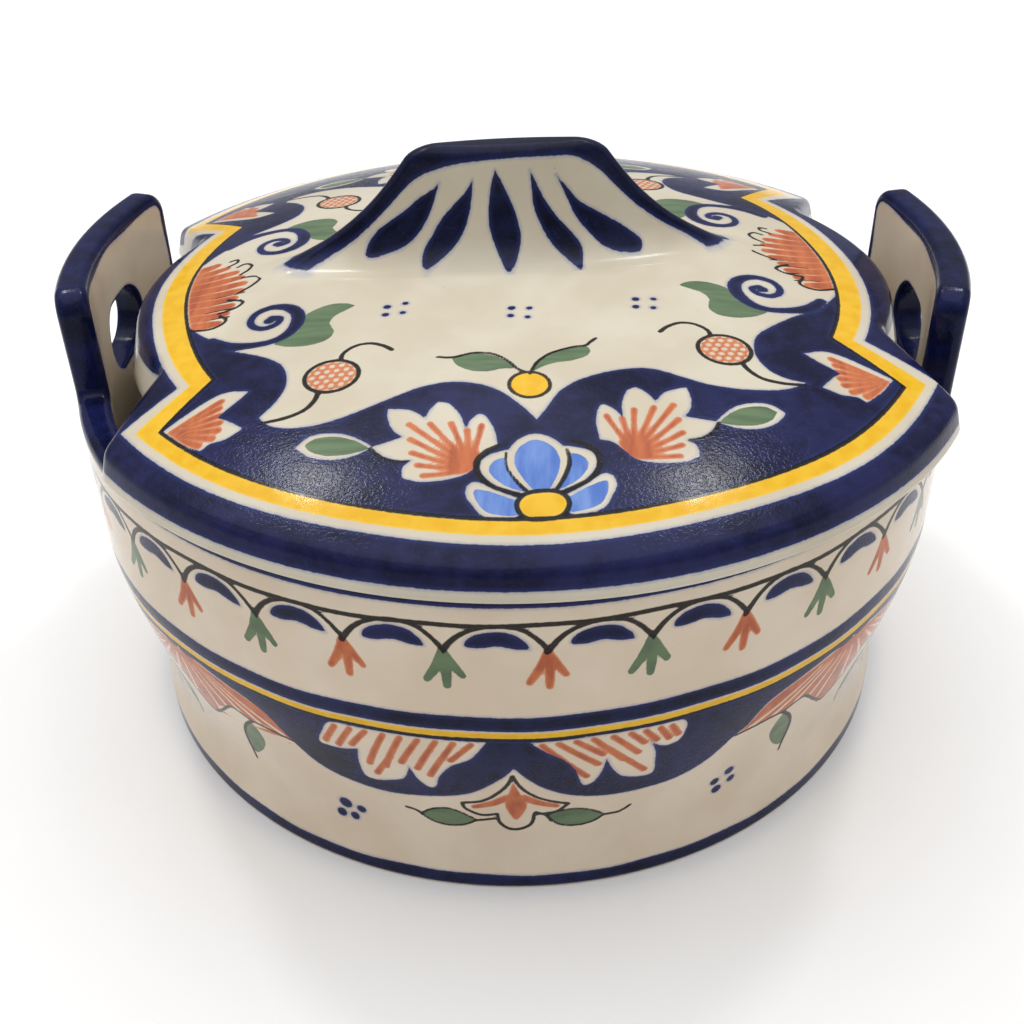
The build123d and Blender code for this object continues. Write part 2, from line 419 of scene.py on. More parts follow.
def bowl_clay():
    """The bowl with its handles: one closed skin, and which of its faces belong to each handle."""
    clay = Clay()
    outside, inside = wall_outside(), wall_inside()
    shoulder = rim_height - edge_round
    heights = np.linspace(foot_height, shoulder, round((shoulder - foot_height) / spacing) + 1)
    radii = np.interp(heights, outside[:, 1], outside[:, 0])
    sill = np.searchsorted(heights, rim_height - window_depth)      # the row under the handles' windows

    def row(radius, height, kind):
        return wall_row(clay, radius, column_angles, height, kind)

    bottom = [row(radius, foot_height, UNDERSIDE) for radius in underside_radii]
    outer = [row(radius, height, OUTSIDE) for radius, height in zip(radii, heights)]
    outer += [row(wall_radius - inset, rim_height - depth, OUTSIDE)
              for inset, depth in zip(edge_insets[1:], edge_depths[1:])]
    top = row(middle_radius, rim_height, EDGE)
    inner = [row(inner_radius + inset, rim_height - depth, INSIDE)
             for inset, depth in zip(edge_insets[::-1], edge_depths[::-1])]
    inner += [row(inner_radius, height, INSIDE) for height in heights[sill:-1][::-1]]
    lower = inside[inside[:, 1] < heights[sill] - 1]
    lower = np.vstack([[(inner_radius, height) for height in inside_heights], lower])
    inner += [row(radius, height, INSIDE) for radius, height in lower]
    inner += [row(radius, floor_top, INSIDE) for radius in floor_radii]

    centre = clay.put([(0, 0, foot_height)], (0, 0, UNDERSIDE, 0))[0]
    clay.faces.append(np.stack([np.full(columns, centre), np.roll(bottom[0], -1), bottom[0]], -1))
    for first, second in zip(bottom, bottom[1:] + outer[:1]):
        clay.strip(first, second, True)
    middles = column_angles + pi / columns
    window = np.abs(np.abs(middles) - pi / 2) < window_columns * 2 * pi / columns
    path = outer + [top] + inner
    last_window = len(outer) + len(edge_turns) + len(heights) - 1 - sill
    for place, (first, second) in enumerate(zip(path, path[1:])):
        clay.strip(first, second, True, window if sill <= place < last_window else None)
    clay.fan(path[-1], clay.put([(0, 0, floor_top)], (0, 0, INSIDE, 0))[0])

    # The plan of a window: its border runs up two columns of the bowl and along the edge between them
    edge, hole = handle_edge(), hole_edge()
    up, hole_up = left_normals(edge), left_normals(hole, True)
    up[0] = up[-1] = (0, 1)
    step = wall_radius * 2 * pi / columns
    sides = heights[sill:-1]
    under = step * np.arange(-window_columns + 1, window_columns)
    border = np.vstack([
        np.stack([under, np.full(len(under), heights[sill])], -1),
        np.stack([np.full(len(sides), window_half_width), sides], -1),
        (edge - up * edge_round)[::-1],
        np.stack([np.full(len(sides), -window_half_width), sides[::-1]], -1),
    ])
    hole_border = hole - hole_up * hole_round
    hole_share = hole_round / edge_round

    def depth(points):
        away = np.minimum(distance_to_line(points, border), distance_to_line(points, hole_border))
        return np.where(inside_line(points, border) & ~inside_line(points, hole_border), away, -away)

    plan, faces = knitted([border, hole_border[::-1]], depth, spacing, (0, rim_height))
    filling = plan[len(border) + len(hole_border):]
    shares = {}
    for turn, name in ((-pi / 2, "left_handle"), (pi / 2, "right_handle")):
        middle = round((turn + pi) / (2 * pi / columns))
        near = (middle + np.arange(-window_columns + 1, window_columns)) % columns
        left, right = (middle - window_columns) % columns, (middle + window_columns) % columns
        loops, hole_loops = [], []

        def placed(line, radius, kind):
            return wall_row(clay, radius, turn + line[:, 0] / wall_radius, line[:, 1], kind)

        def add_loop(line, radius, kind, row):
            """A loop over the handle whose ends are vertices of a row of the bowl."""
            loop = placed(line, radius, kind)
            loop[0], loop[-1] = row[left], row[right]
            loops.append(loop)

        for kind, radius, sign, order, rows in (
            (OUTSIDE, wall_radius, -1, 1, outer[len(heights) - 1:]),
            (INSIDE, inner_radius, 1, -1, inner),
        ):
            for inset, back, row in zip(edge_insets[::order], edge_depths[::order], rows):
                add_loop(edge - up * back, radius + sign * inset, kind, row)
                hole_loops.append(placed(hole - hole_up * back * hole_share,
                                         radius + sign * inset * hole_share, kind))
            if kind == OUTSIDE:
                add_loop(edge, middle_radius, EDGE, top)
                hole_loops.append(placed(hole, middle_radius, EDGE))
        before = len(clay.faces)
        for first, second in zip(loops, loops[1:]):
            clay.strip(first, second)
        for first, second in zip(hole_loops, hole_loops[1:]):
            clay.strip(first, second, True)
        inner_rows = inner[len(edge_turns):len(edge_turns) + len(sides)][::-1]
        for kind, radius, rows, rim, hole_rim in (
            (OUTSIDE, wall_radius, outer[sill:len(heights) - 1], loops[0], hole_loops[0]),
            (INSIDE, inner_radius, inner_rows, loops[-1], hole_loops[-1]),
        ):
            numbers = np.concatenate([
                rows[0][near], [row[right] for row in rows], rim[::-1], [row[left] for row in rows[::-1]],
                hole_rim[::-1], placed(filling, radius, kind),
            ])
            clay.patch(numbers, faces, turned=kind == INSIDE)
        shares[name] = range(before, len(clay.faces))
    return clay, shares


def vertex_normals(clay):
    """Smooth normals over a whole skin, so that pieces cut from it show no seam."""
    points = np.vstack(clay.points)
    normals = np.zeros_like(points)
    for group in clay.faces:
        a, b, c = points[group[:, 0]], points[group[:, 1]], points[group[:, -1]]
        normal = np.cross(b - a, c - a)
        normal[points[group][..., 2].max(1) < foot_height + 0.01] *= 1e-3      # the underside hardly counts
        for corner in group.T:
            np.add.at(normals, corner, normal)
    return normals / np.maximum(np.linalg.norm(normals, axis=1), 1e-12)[:, None]


def make_bowl():
    """The bowl and its two handles, cut from one skin at the rim's height."""
    clay, shares = bowl_clay()
    points = np.vstack(clay.points)
    normals = vertex_normals(clay)
    number, groups = 0, {"bowl_body": []}
    for place, group in enumerate(clay.faces):
        faces = number + np.arange(len(group))
        number += len(group)
        owner = next((name for name, share in shares.items() if place in share), None)
        above = points[group].mean(1)[:, 2] > rim_height
        if owner is None:
            groups["bowl_body"].append(faces)
        else:
            groups["bowl_body"].append(faces[~above])
            groups.setdefault(owner, []).append(faces[above])
    return {name: modelled(name + "_glazed", clay, "bowl", [name],
                           keep_faces=np.concatenate(faces), normals=normals)
            for name, faces in groups.items()}


def make_foot():
    """The ring that the bowl stands on."""
    clay = Clay()
    inner = base_radius - foot_width
    section = np.vstack([
        [(base_radius, foot_height), (base_radius, foot_height / 2)],
        arc((base_radius - foot_rounding, foot_rounding), foot_rounding, 0, -90, 0.3),
        arc((inner + foot_rounding, foot_rounding), foot_rounding, -90, -180, 0.3),
        [(inner, foot_height)],
    ])[::-1]
    section = resampled(section, spacing)
    rows = [wall_row(clay, radius, column_angles, height, FOOT) for radius, height in section]
    for first, second in zip(rows, rows[1:] + rows[:1]):
        clay.strip(first, second, True)
    return modelled("foot_ring_glazed", clay, "bowl", ["foot_ring"], crease=35)


# ---------------------------------------------------------------- lid
def dome_at(plan):
    """Height of the lid's upper surface at points of its plan."""
    share = np.hypot(plan[..., 0], plan[..., 1]) / lid_radius
    return crown_height - crown_sag * share**2 - shoulder_sag * share**4


def in_bowl(points):
    """Points of the lid's own frame in the bowl's."""
    points = np.asarray(points, float)
    turned = points.copy()
    turned[:, 0] = points[:, 0] * cos(lid_turn) - points[:, 1] * sin(lid_turn) + lid_shift
    turned[:, 1] = points[:, 0] * sin(lid_turn) + points[:, 1] * cos(lid_turn)
    return turned


def lid_line():
    """The lid's plan at its seat, counterclockwise."""
    end_angle = handle_half_angle + lid_turn
    end = (inner_radius * cos(end_angle) - lid_shift,
           inner_radius * sin(end_angle) + notch_clearance * hypot(1, notch_run))
    centre = bulge_reach - bulge_radius
    along = np.linspace(-15, 15, 6001)
    edge = np.stack([end[0] + along, end[1] + along * notch_run], -1)
    inner_tip = edge[np.argmin(np.abs(np.hypot(edge[:, 0] - centre, edge[:, 1]) - bulge_radius))]
    outer_tip = edge[np.argmin(np.abs(np.hypot(*edge.T) - lid_radius))]
    bulge = np.degrees(atan2(inner_tip[1], inner_tip[0] - centre))
    rim = np.degrees(atan2(outer_tip[1], outer_tip[0]))
    slant = np.linspace(inner_tip, outer_tip, 80)
    right = [arc((centre, 0), bulge_radius, -bulge, bulge), slant, arc((0, 0), lid_radius, rim, 180 - rim)]
    left = [-right[0], -slant, -right[2]]
    back = [(slant * (-1, 1))[::-1], (slant * (1, -1))[::-1]]
    curves = right + back[:1] + left + back[1:]
    radii = [notch_round, lid_corner_round, lid_corner_round, notch_round] * 2
    return resampled(rounded_corners(curves, radii), spacing, closed=True)


def polar(line, angles):
    """Distance of a closed line from the origin at angles."""
    around = np.arctan2(line[:, 1], line[:, 0])
    order = np.argsort(around)
    return np.interp(angles, around[order], np.hypot(*line.T)[order], period=2 * pi)


def make_lid():
    """The lid: a dome with a leaning side, and a hollow underneath."""
    clay = Clay()
    line = lid_line()
    count = len(line)
    out = -left_normals(line, True)

    def inset(distance):
        """The lid's outline drawn in by a distance, one for all or one for each point."""
        return line - out * np.reshape(distance, (-1, 1))

    def put(plan, height, inward, below=0):
        """Vertices whose plan holds x, y, the distance in from the edge, and 1 if under the lid."""
        height, inward, below = (np.broadcast_to(value, len(plan)) for value in (height, inward, below))
        return clay.put(in_bowl(np.column_stack([plan, height])), np.column_stack([plan, inward, below]))

    # The side leans in to the dome, and a round joins them
    rise = np.zeros(count)
    for _ in range(20):
        rise = dome_at(inset(rise * rim_slope)) - seat_height
    corner_in = rise * rim_slope
    corner = np.stack([corner_in, rise + seat_height], -1)
    over = np.stack([np.full(count, 0.5), dome_at(inset(corner_in + 0.5)) - corner[:, 1]], -1)
    over /= np.hypot(*over.T)[:, None]
    down = -np.array([sin(rim_lean), cos(rim_lean)])
    opening = np.arccos(np.clip(over @ down, -1, 1))
    reach = (rim_top_round / np.tan(opening / 2))[:, None]
    inner_end, outer_end = corner + over * reach, corner + down * reach
    rows = [(1 - share)**2 * inner_end + 2 * share * (1 - share) * corner + share**2 * outer_end
            for share in np.linspace(0, 1, corner_steps)]
    lowest = np.array([rim_under_round * rim_slope, seat_height + rim_under_round])
    rows += [outer_end + (lowest - outer_end) * share for share in (0.25, 0.5, 0.75, 1)]
    for turn in (30, 60, 90):
        rows.append(np.broadcast_to(lowest + [rim_under_round * (1 - cos(radians(turn))),
                                              -rim_under_round * sin(radians(turn))], outer_end.shape))
    travel = np.cumsum([np.zeros(count)]
                       + [np.hypot(*(second - first).T) for first, second in zip(rows, rows[1:])], 0)
    rings = [put(inset(row[:, 0]), row[:, 1], distance)
             for row, distance in zip(rows, travel[corner_steps // 2] - travel)]
    inner_loop = inset(dome_inset)
    half_loop = inset((dome_inset + rows[0][:, 0]) / 2)
    rings = [put(loop, dome_at(loop), INWARD) for loop in (inner_loop, half_loop)] + rings

    def depth(points):
        return polar(inner_loop, np.arctan2(points[:, 1], points[:, 0])) - np.hypot(*points.T)

    plan, faces = knitted([inner_loop], depth, spacing)
    filling = plan[len(inner_loop):]
    clay.patch(np.concatenate([rings[0], put(filling, dome_at(filling), INWARD)]), faces)
    for first, second in zip(rings, rings[1:]):
        clay.strip(second, first, True)

    # Under the lid: the seat, and a hollow inside the flange
    angles = np.arctan2(inner_loop[:, 1], inner_loop[:, 0])
    reach = np.minimum(flange_reach - flange_wall, polar(inset(flange_inset + flange_wall), angles))
    hollow = np.stack([reach * np.cos(angles), reach * np.sin(angles)], -1)
    under = [rings[-1], put(hollow, seat_height, -INWARD, 1)]
    under += [put(plan, dome_at(plan) - lid_thickness, -INWARD, 1)
              for plan in (hollow * share for share in hollow_shares)]
    for first, second in zip(under, under[1:]):
        clay.strip(second, first, True)
    clay.fan(under[-1], put(np.zeros((1, 2)), crown_height - lid_thickness, -INWARD, 1)[0], turned=True)
    return modelled("lid_shell_glazed", clay, "lid", ["lid_shell"])


def grip_ring(half_length, half_depth, half_end, sides=150, ends=12):
    """Plan of the grip at one height: a pointed oval with blunt ends, counterclockwise from +X."""
    half_depth = max(half_depth, half_end + 0.02)
    corner = half_length - half_end
    rise = half_depth - half_end
    radius = (corner**2 + rise**2) / (2 * rise)
    swing = np.degrees(np.arcsin(min(1, corner / radius)))
    side = np.radians(np.linspace(90 - swing, 90 + swing, sides))
    upper = np.stack([radius * np.cos(side), half_depth - radius + radius * np.sin(side)], -1)
    end = np.radians(np.linspace(90, 270, ends + 2)[1:-1])
    cap = np.stack([-corner + half_end * np.cos(end), half_end * np.sin(end)], -1)
    return np.vstack([upper, cap, -upper, -cap])


def grip_section(height):
    """Half length, half depth and half end of the grip at a height up to its shoulder."""
    left = 1 - np.clip((height - grip_foot) / (grip_shoulder - grip_foot), 0, 1)
    return (crest_half_length + grip_spread * left
            + (grip_half_length - crest_half_length - grip_spread) * left**3,
            crest_half_depth + (grip_half_depth - crest_half_depth) * left**2.4,
            crest_end_half_depth + (tail_half_depth - crest_end_half_depth) * left**2)


def make_grip():
    """The grip: its sides flare into the dome, and its crest is rounded."""
    clay = Clay()
    levels = np.linspace(grip_foot, grip_shoulder, 120)
    stack = np.stack([grip_ring(*grip_section(level)) for level in levels]) + grip_place
    above = levels[:, None] - dome_at(stack)
    count = stack.shape[1]
    # The lowest level of each column is where it leaves the dome
    foot = np.array([np.interp(0, above[:, column], levels) for column in range(count)])
    rows = []
    for share in np.concatenate([np.linspace(0, 0.3, 14)[:-1], np.linspace(0.3, 1, 26)]):
        heights = foot + (grip_shoulder - foot) * share
        plan = np.array([[np.interp(heights[column], levels, stack[:, column, axis]) for axis in (0, 1)]
                         for column in range(count)])
        climb = np.clip((heights - foot) / grip_fillet, 0, 1)
        plan -= left_normals(plan, True) * ((1 - climb)**2 * grip_fillet * fillet_flare)[:, None]
        ground = dome_at(plan)
        curve = ground + (foot - ground) * climb + grip_fillet * climb**2 * (2 - climb)
        rows.append(np.column_stack([plan, np.where(climb < 1, curve, heights)]))
    rows[0][:, 2] -= 0.02     # the foot dips into the dome, so that no gap shows
    for turn in np.linspace(0, 90, 10)[1:]:
        away = 1 - cos(radians(turn))
        lean = grip_spread / (grip_shoulder - grip_foot) * crest_round * sin(radians(turn))
        ring = grip_ring(crest_half_length - lean - crest_end_round * away,
                         crest_half_depth - crest_round * away,
                         crest_end_half_depth - crest_round * away / 2)
        height = np.full(count, grip_shoulder + crest_round * sin(radians(turn)))
        rows.append(np.column_stack([ring + grip_place, height]))
    top = rows[-1]
    for share in (0.6, 0.25):
        ring = (top[:, :2] - grip_place) * (0.93 + 0.07 * share, share) + grip_place
        rows.append(np.column_stack([ring, np.full(count, top[0, 2] + 0.02)]))
    # The grip's plan holds x, height, -1 in front or 1 behind, and y
    numbers = []
    for row in rows:
        side = np.sign(row[:, 1] - grip_place[1])
        flat = np.column_stack([row[:, 0], row[:, 2], side, row[:, 1]])
        numbers.append(clay.put(in_bowl(row), flat))
    for first, second in zip(numbers, numbers[1:]):
        clay.strip(first, second, True)
    for row, height, level, turned in ((numbers[-1], top[0, 2] + 0.02, top[0, 2], False),
                                       (numbers[0], crown_height - 2.0, crown_height, True)):
        clay.fan(row, clay.put(in_bowl([(*grip_place, height)]), (0, level, 0, 0))[0], turned)
    return modelled("lid_grip_glazed", clay, "lid", ["lid_grip"])


pieces = make_bowl()
pieces["foot_ring"] = make_foot()
pieces["lid_shell"] = make_lid()
pieces["lid_grip"] = make_grip()

# ---------------------------------------------------------------- maps for baking
def corner_rows(mesh, plan):
    """The plan's row for each face corner, each corner's face, and each face's first corner."""
    vertices = np.empty(len(mesh.loops), np.int32)
    mesh.loops.foreach_get("vertex_index", vertices)
    sizes = np.empty(len(mesh.polygons), np.int32)
    mesh.polygons.foreach_get("loop_total", sizes)
    return plan[vertices].T, np.repeat(np.arange(len(sizes)), sizes), np.append(0, np.cumsum(sizes))[:-1]


def unrolled(angle, hub, face, starts):
    """Corner angles without a jump inside a face, and the quarter that the face lies in."""
    jump = np.maximum.reduceat(angle, starts) - np.minimum.reduceat(angle, starts) > pi
    angle = np.where(jump[face] & (angle < 0), angle + 2 * pi, angle)
    others = np.bincount(face, np.where(hub, 0, angle)) / np.bincount(face, ~hub)
    angle = np.where(hub, others[face], angle) + pi
    middle = np.bincount(face, angle) / np.bincount(face)
    return angle, (middle // (pi / 2)).clip(0, 3)[face]


def lay_map(piece, across, up):
    """Gives the piece its baking map; the map's unit square is one texture."""
    layer = piece.data.uv_layers.new(name="OFBake")
    layer.uv.foreach_set("vector", np.stack([across, up], -1).astype(np.float32).ravel())


def map_bowl(piece, plan):
    """The outside in four quarters, with thin strips for the inside and the underside."""
    (arc_length, height, kind, radius), face, starts = corner_rows(piece.data, plan)
    angle, quarter = unrolled(arc_length / wall_radius, radius == 0, face, starts)
    side = np.maximum.reduceat(kind, starts)[face]
    over_rim = np.where(height > rim_height - edge_round, wall_radius - radius, 0)
    share = (height + over_rim - foot_height) / (rim_height + 4 - foot_height)
    around = 0.005 + 0.99 * angle / (2 * pi)
    depth = (rim_height - height) / (rim_height - floor_top) + 1 - radius / wall_radius
    lay_map(piece,
            np.where(side < INSIDE, (quarter % 2 + 0.01 + 0.98 * (angle / (pi / 2) - quarter)) / 2, around),
            np.select([side < INSIDE, side < UNDERSIDE],
                      [0.2 + 0.4 * (quarter // 2 + 0.01 + 0.98 * share), 0.005 + 0.07 * depth],
                      0.155 + 0.04 * radius / wall_radius))


def map_lid(piece, plan):
    """The top as seen from above, with thin strips for the side and a small disc for the underside."""
    (x, y, inward, below), face, starts = corner_rows(piece.data, plan)
    angle, quarter = unrolled(np.arctan2(y, x), np.hypot(x, y) < 1e-6, face, starts)
    low = np.minimum.reduceat(inward, starts)[face] < -0.5
    under = np.maximum.reduceat(below, starts)[face] > 0
    (x, y), top, small = np.array([x, y]) / lid_radius, 0.415, 0.075      # half sizes of the two discs
    around = 0.005 + 0.99 * (angle / (pi / 2) - quarter)
    down = 0.04 * (quarter + 0.92 + inward.clip(-11, 0) / 13)
    lay_map(piece,
            np.select([under, low], [0.92 + x * small, around], 0.42 + x * top),
            np.select([under, low], [0.25 + y * small, down], 0.58 + y * top))


map_bowl(*pieces["bowl_body"])
map_lid(*pieces["lid_shell"])



# ---------------------------------------------------------------- painting
FAR = 3.0                 # mm from a stroke beyond which its distance isn't kept
PIGMENTS = ("blue", "sky", "yellow", "green", "rust", "black")


def sharp(*point):
    """A corner of a smooth outline: the point twice."""
    return point, point


def smooth(points, closed=False, steps=6):
    """A smooth line through points; a point given twice is a corner."""
    points = np.asarray(points, float)
    if closed:
        points = np.vstack([points[-1:], points, points[:2]])
    else:
        points = np.vstack([points[:1], points, points[-1:]])
    line = []
    for a, b, c, d in zip(points, points[1:], points[2:], points[3:]):
        if np.allclose(b, c):
            continue
        share = np.linspace(0, 1, steps, endpoint=False)[:, None]
        line.append(0.5 * (2 * b + (c - a) * share + (2 * a - 5 * b + 4 * c - d) * share**2
                           + (3 * b - a - 3 * c + d) * share**3))
    if not closed:
        line.append(points[-1:])
    return np.vstack(line)


class Painter:
    """Brushstrokes on a flat plan. Each pigment keeps how far inside its strokes a point lies."""

    def __init__(self, plan, onto=None):
        self.plan = self.local = np.asarray(plan, float)
        self.layers = onto or {pigment: np.full(len(plan), -FAR) for pigment in PIGMENTS}

    def moved(self, move):
        """The same painting seen by a brush that draws elsewhere: move takes plan points to its own."""
        painter = Painter(self.plan, self.layers)
        painter.local = move(self.plan)
        return painter

    def near(self, line, margin=0.0):
        """Which points of the plan a stroke along a line can reach, and where they are."""
        low, high = line.min(0) - FAR - margin, line.max(0) + FAR + margin
        index = np.flatnonzero(((self.local > low) & (self.local < high)).all(1))
        return index, self.local[index]

    def shape(self, outline):
        """Distance inside a closed smooth outline."""
        outline = smooth(outline, closed=True)
        index, points = self.near(outline)
        away = np.minimum(distance_to_line(points, outline), FAR)
        return index, np.where(inside_line(points, outline), away, -away)

    def path(self, points, width):
        """Distance inside a stroke along a smooth line, its half width given for all or for each point."""
        width = np.broadcast_to(np.asarray(width, float), len(points))
        line = smooth(np.column_stack([points, width]))
        index, local = self.near(line[:, :2])
        best = np.full(len(local), -FAR)
        for a, b in zip(line, line[1:]):
            run = b[:2] - a[:2]
            share = np.clip(((local - a[:2]) @ run) / max(run @ run, 1e-12), 0, 1)
            off = local - a[:2] - share[:, None] * run
            np.maximum(best, a[2] + (b[2] - a[2]) * share - np.hypot(*off.T), out=best)
        return index, best

    def lay(self, pigment, found, inset=0.0):
        """Adds a shape, given by points of the plan and how far inside it they lie."""
        index, distance = found
        layer = self.layers[pigment]
        layer[index] = np.maximum(layer[index], distance - inset)

    def wash(self, pigment, distance):
        """Adds strokes whose distance is given for the whole plan."""
        self.lay(pigment, (slice(None), np.minimum(distance, FAR)))

    def hold(self, pigments, limit):
        """Keeps the strokes of some pigments within a limit."""
        for pigment in pigments:
            self.layers[pigment] = np.minimum(self.layers[pigment], limit)

    def spare(self, pigment, found, margin=0.0):
        """Leaves a shape free of a pigment."""
        index, distance = found
        layer = self.layers[pigment]
        layer[index] = np.minimum(layer[index], -distance - margin)

    def fill(self, pigment, outline, inset=0.0):
        self.lay(pigment, self.shape(outline), inset)

    def stroke(self, pigment, points, width):
        self.lay(pigment, self.path(points, width))

    def edge(self, pigment, found, width):
        """A line along the edge of a shape."""
        index, distance = found
        self.lay(pigment, (index, width - np.abs(distance)))

    def dot(self, pigment, centre, radius):
        self.lay(pigment, self.disc(centre, radius))

    def disc(self, centre, radius):
        centre = np.array([centre], float)
        index, points = self.near(centre, radius)
        return index, np.maximum(radius - np.hypot(*(points - centre).T), -FAR)


# ---------------------------------------------------------------- the lid's painting
lid_paint_centre = np.array((-1.6, -2.2))
lid_paint_turn = radians(1.2)
lid_paint_axes = np.array([
    [cos(lid_paint_turn), sin(lid_paint_turn)],
    [-sin(lid_paint_turn), cos(lid_paint_turn)],
])
edge_drop = 3.9           # of the cobalt down the lid's side
flower_axis = -2.6
dot_groups = ((-28, -25.6, 0.4), (-0.9, -30.4, -0.5), (25.6, -28.8, -0.2))
dot_group = ((-1.9, 1.6, 0.85), (1.9, 1.9, 0.7), (-2.3, -1.6, 0.8), (1.3, -1.9, 0.7))

# The three lines of the lid's band: circle, tip and outer corner of a notch's side, and reach of the bulge
band_lines = (
    (97.2, (70.6, 38.9), (82.5, 49.4), 80.4),
    (95.3, (68.1, 39.2), (79.2, 51.1), 78.2),
    (92.2, (63.5, 38.9), (74.0, 52.6), 73.0),
)


def lid_axes(points):
    """Lid points in the painting's own axes."""
    return (np.asarray(points, float) - lid_paint_centre) @ lid_paint_axes.T


def lid_flip(points, across, along):
    """Lid points mirrored in the painting's own axes."""
    painted = lid_axes(points) * (-1 if across else 1, -1 if along else 1)
    return painted @ lid_paint_axes + lid_paint_centre


def lid_band(plan, circle, tip, corner, reach):
    """Distance inside one line of the lid's band, which follows the edge and its notches."""
    x, y = np.abs(lid_axes(plan)).T
    run = np.subtract(corner, tip) / hypot(*np.subtract(corner, tip))
    edge = -(x - tip[0]) * run[1] + (y - tip[1]) * run[0]
    radius = ((reach - tip[0])**2 + tip[1]**2) / (2 * (reach - tip[0]))
    bulge = radius - np.hypot(x - (reach - radius), y)
    return np.minimum(circle - np.hypot(*plan.T), np.maximum(edge, bulge))


# Outline of the lid's light field: its front half, left and right of the middle
field_left = [
    *sharp(-1.6, -67.8), (-4, -63.6), (-7.5, -59), (-12, -56), (-17.5, -54.9), (-23, -55.9), (-29, -58.6),
    (-36, -61.7), (-42, -63.3), (-47.5, -63), (-51.5, -61.2), *sharp(-53.7, -58.3), (-50.8, -54.8),
    (-49, -50.5), (-48.9, -46.5), (-50.2, -42.3), (-53.2, -38.8), (-57, -36), *sharp(-61.5, -33.2),
    (-65, -28.6), (-68.8, -24.4), (-71.8, -20), (-74.6, -16), (-77.5, -10), (-78.5, -2.2),
]
field_right = [
    *sharp(-1.6, -67.8), (0.8, -64.5), (3.5, -60.5), (7, -57.5), (12, -55.3), (17, -54.1), (21.5, -53.9),
    (25, -55), (29, -57.3), (33, -59.2), (38, -60.3), (43, -60.4), (48, -59.7), *sharp(53, -57.2),
    (49, -56.2), (46.2, -53.8), (44.8, -50), (44.9, -46), (46.2, -41.8), (49, -38.5), (53, -35), (57, -32),
    *sharp(62.5, -29), (65, -26), (68, -22), (70.5, -18), (73, -13), (75.5, -8), (76, -0.5),
]


def paint_spiral(brush):
    """A cobalt scroll in a corner of the field, with a green leaf."""
    brush.stroke("blue", [
        (-66.5, -27.5), (-62.5, -31.2), (-57.5, -32.5), (-53, -32.4), (-49.9, -30.3), (-48.3, -26.5),
        (-48.5, -22.3), (-50.8, -19.1), (-54.2, -18.1), (-57.3, -19.6), (-58.4, -22.5), (-57.6, -25.2),
        (-55.2, -26.6), (-52.7, -25.6), (-52.1, -23.4), (-53.9, -22.6),
    ], [1.2, 1.6, 1.15, 1.05, 1.3, 1.5, 1.5, 1.35, 1.1, 0.95, 0.85, 0.85, 0.9, 0.85, 0.8, 0.9])
    brush.dot("blue", (-54.3, -23.7), 1.3)
    brush.fill("green", [
        *sharp(-52.8, -33.6), (-49.5, -35.6), (-45.3, -36.3), (-41.8, -35.2), (-40.4, -32.6), (-40.9, -30.3),
        (-41.4, -28.2), (-40.3, -25.6), (-38.2, -23.9), *sharp(-36.3, -22.3), (-38, -21), (-41, -20.5),
        (-44.2, -21.6), (-46.6, -23.8), (-47.2, -27), (-48.3, -30.3),
    ])


def paint_berry(brush):
    """A rust berry with cream spots, on a thin black stalk."""
    centre, radius = np.array((-40, -48.8)), 5.3
    across, along, spot_radius = 1.9, 1.62, 0.58
    brush.dot("rust", centre, radius - 0.4)
    for row in range(-3, 4):
        for place in range(-3, 4):
            spot = centre + (across * (place + row % 2 / 2), along * row)
            brush.spare("rust", brush.disc(spot, spot_radius))
    brush.edge("black", brush.disc(centre, radius), 0.48)
    brush.stroke("black", [(-38.4, -43.7), (-38, -41.3), (-35.8, -39), (-32.8, -38.5), (-30, -40),
                           (-28.3, -41.8)], [0.55, 0.48, 0.46, 0.46, 0.5, 0.55])
    brush.stroke("black", [(-42.4, -53.6), (-43.2, -56.3), (-45.3, -58.7), (-49, -59.9), (-53.3, -60)],
                 [0.6, 0.55, 0.5, 0.48, 0.42])


def paint_palmette(brush):
    """A fan of rust strokes on a light palmette left in the cobalt."""
    shape = [
        *sharp(-9.6, -74.4), (-9.9, -69.5), (-11.2, -65.8), *sharp(-12.4, -65.1), (-14.2, -67),
        *sharp(-15.1, -69.4), (-15.8, -65.3), (-17.6, -61.7), *sharp(-19.6, -60.8), (-21.2, -62.6),
        *sharp(-22.4, -65.3), (-25, -62.6), *sharp(-29.3, -61.5), (-29.3, -65), (-28.3, -68),
        *sharp(-26.8, -69.7), (-29.5, -70.5), *sharp(-32.8, -71.4), (-30.6, -74), (-28, -75.5),
        *sharp(-25.6, -75.9), (-27.2, -77.5), *sharp(-27.2, -80), (-24, -81.3), (-19, -81.3),
        (-15.3, -80), *sharp(-13.6, -77.6), (-11.8, -75.3),
    ]
    brush.spare("blue", brush.shape(shape))
    for start, end in (
        ((-14.4, -75.4), (-12.1, -68.4)), ((-15.2, -75), (-14.9, -69.4)), ((-16, -75), (-17.7, -67.2)),
        ((-16.6, -75.6), (-21.6, -66.9)), ((-17, -76.2), (-25.5, -66.5)), ((-17.6, -77), (-25.5, -70.5)),
        ((-18, -77.8), (-25.4, -74)), ((-18, -78.6), (-24.5, -77.2)), ((-17.6, -79.5), (-23.6, -79.9)),
    ):
        middle = (0.5 * start[0] + 0.5 * end[0] + 0.1, 0.5 * start[1] + 0.5 * end[1] - 0.25)
        brush.stroke("rust", [start, middle, end], [0.95, 0.62, 0.72])
    brush.fill("rust", [(-12.9, -75.4), (-14.4, -74.4), (-16.2, -75.2), (-17.8, -76.6), (-18.8, -78.4),
                        (-18.4, -80.2), (-16.4, -80.4), (-14.2, -79.4), (-13.2, -77.4)])


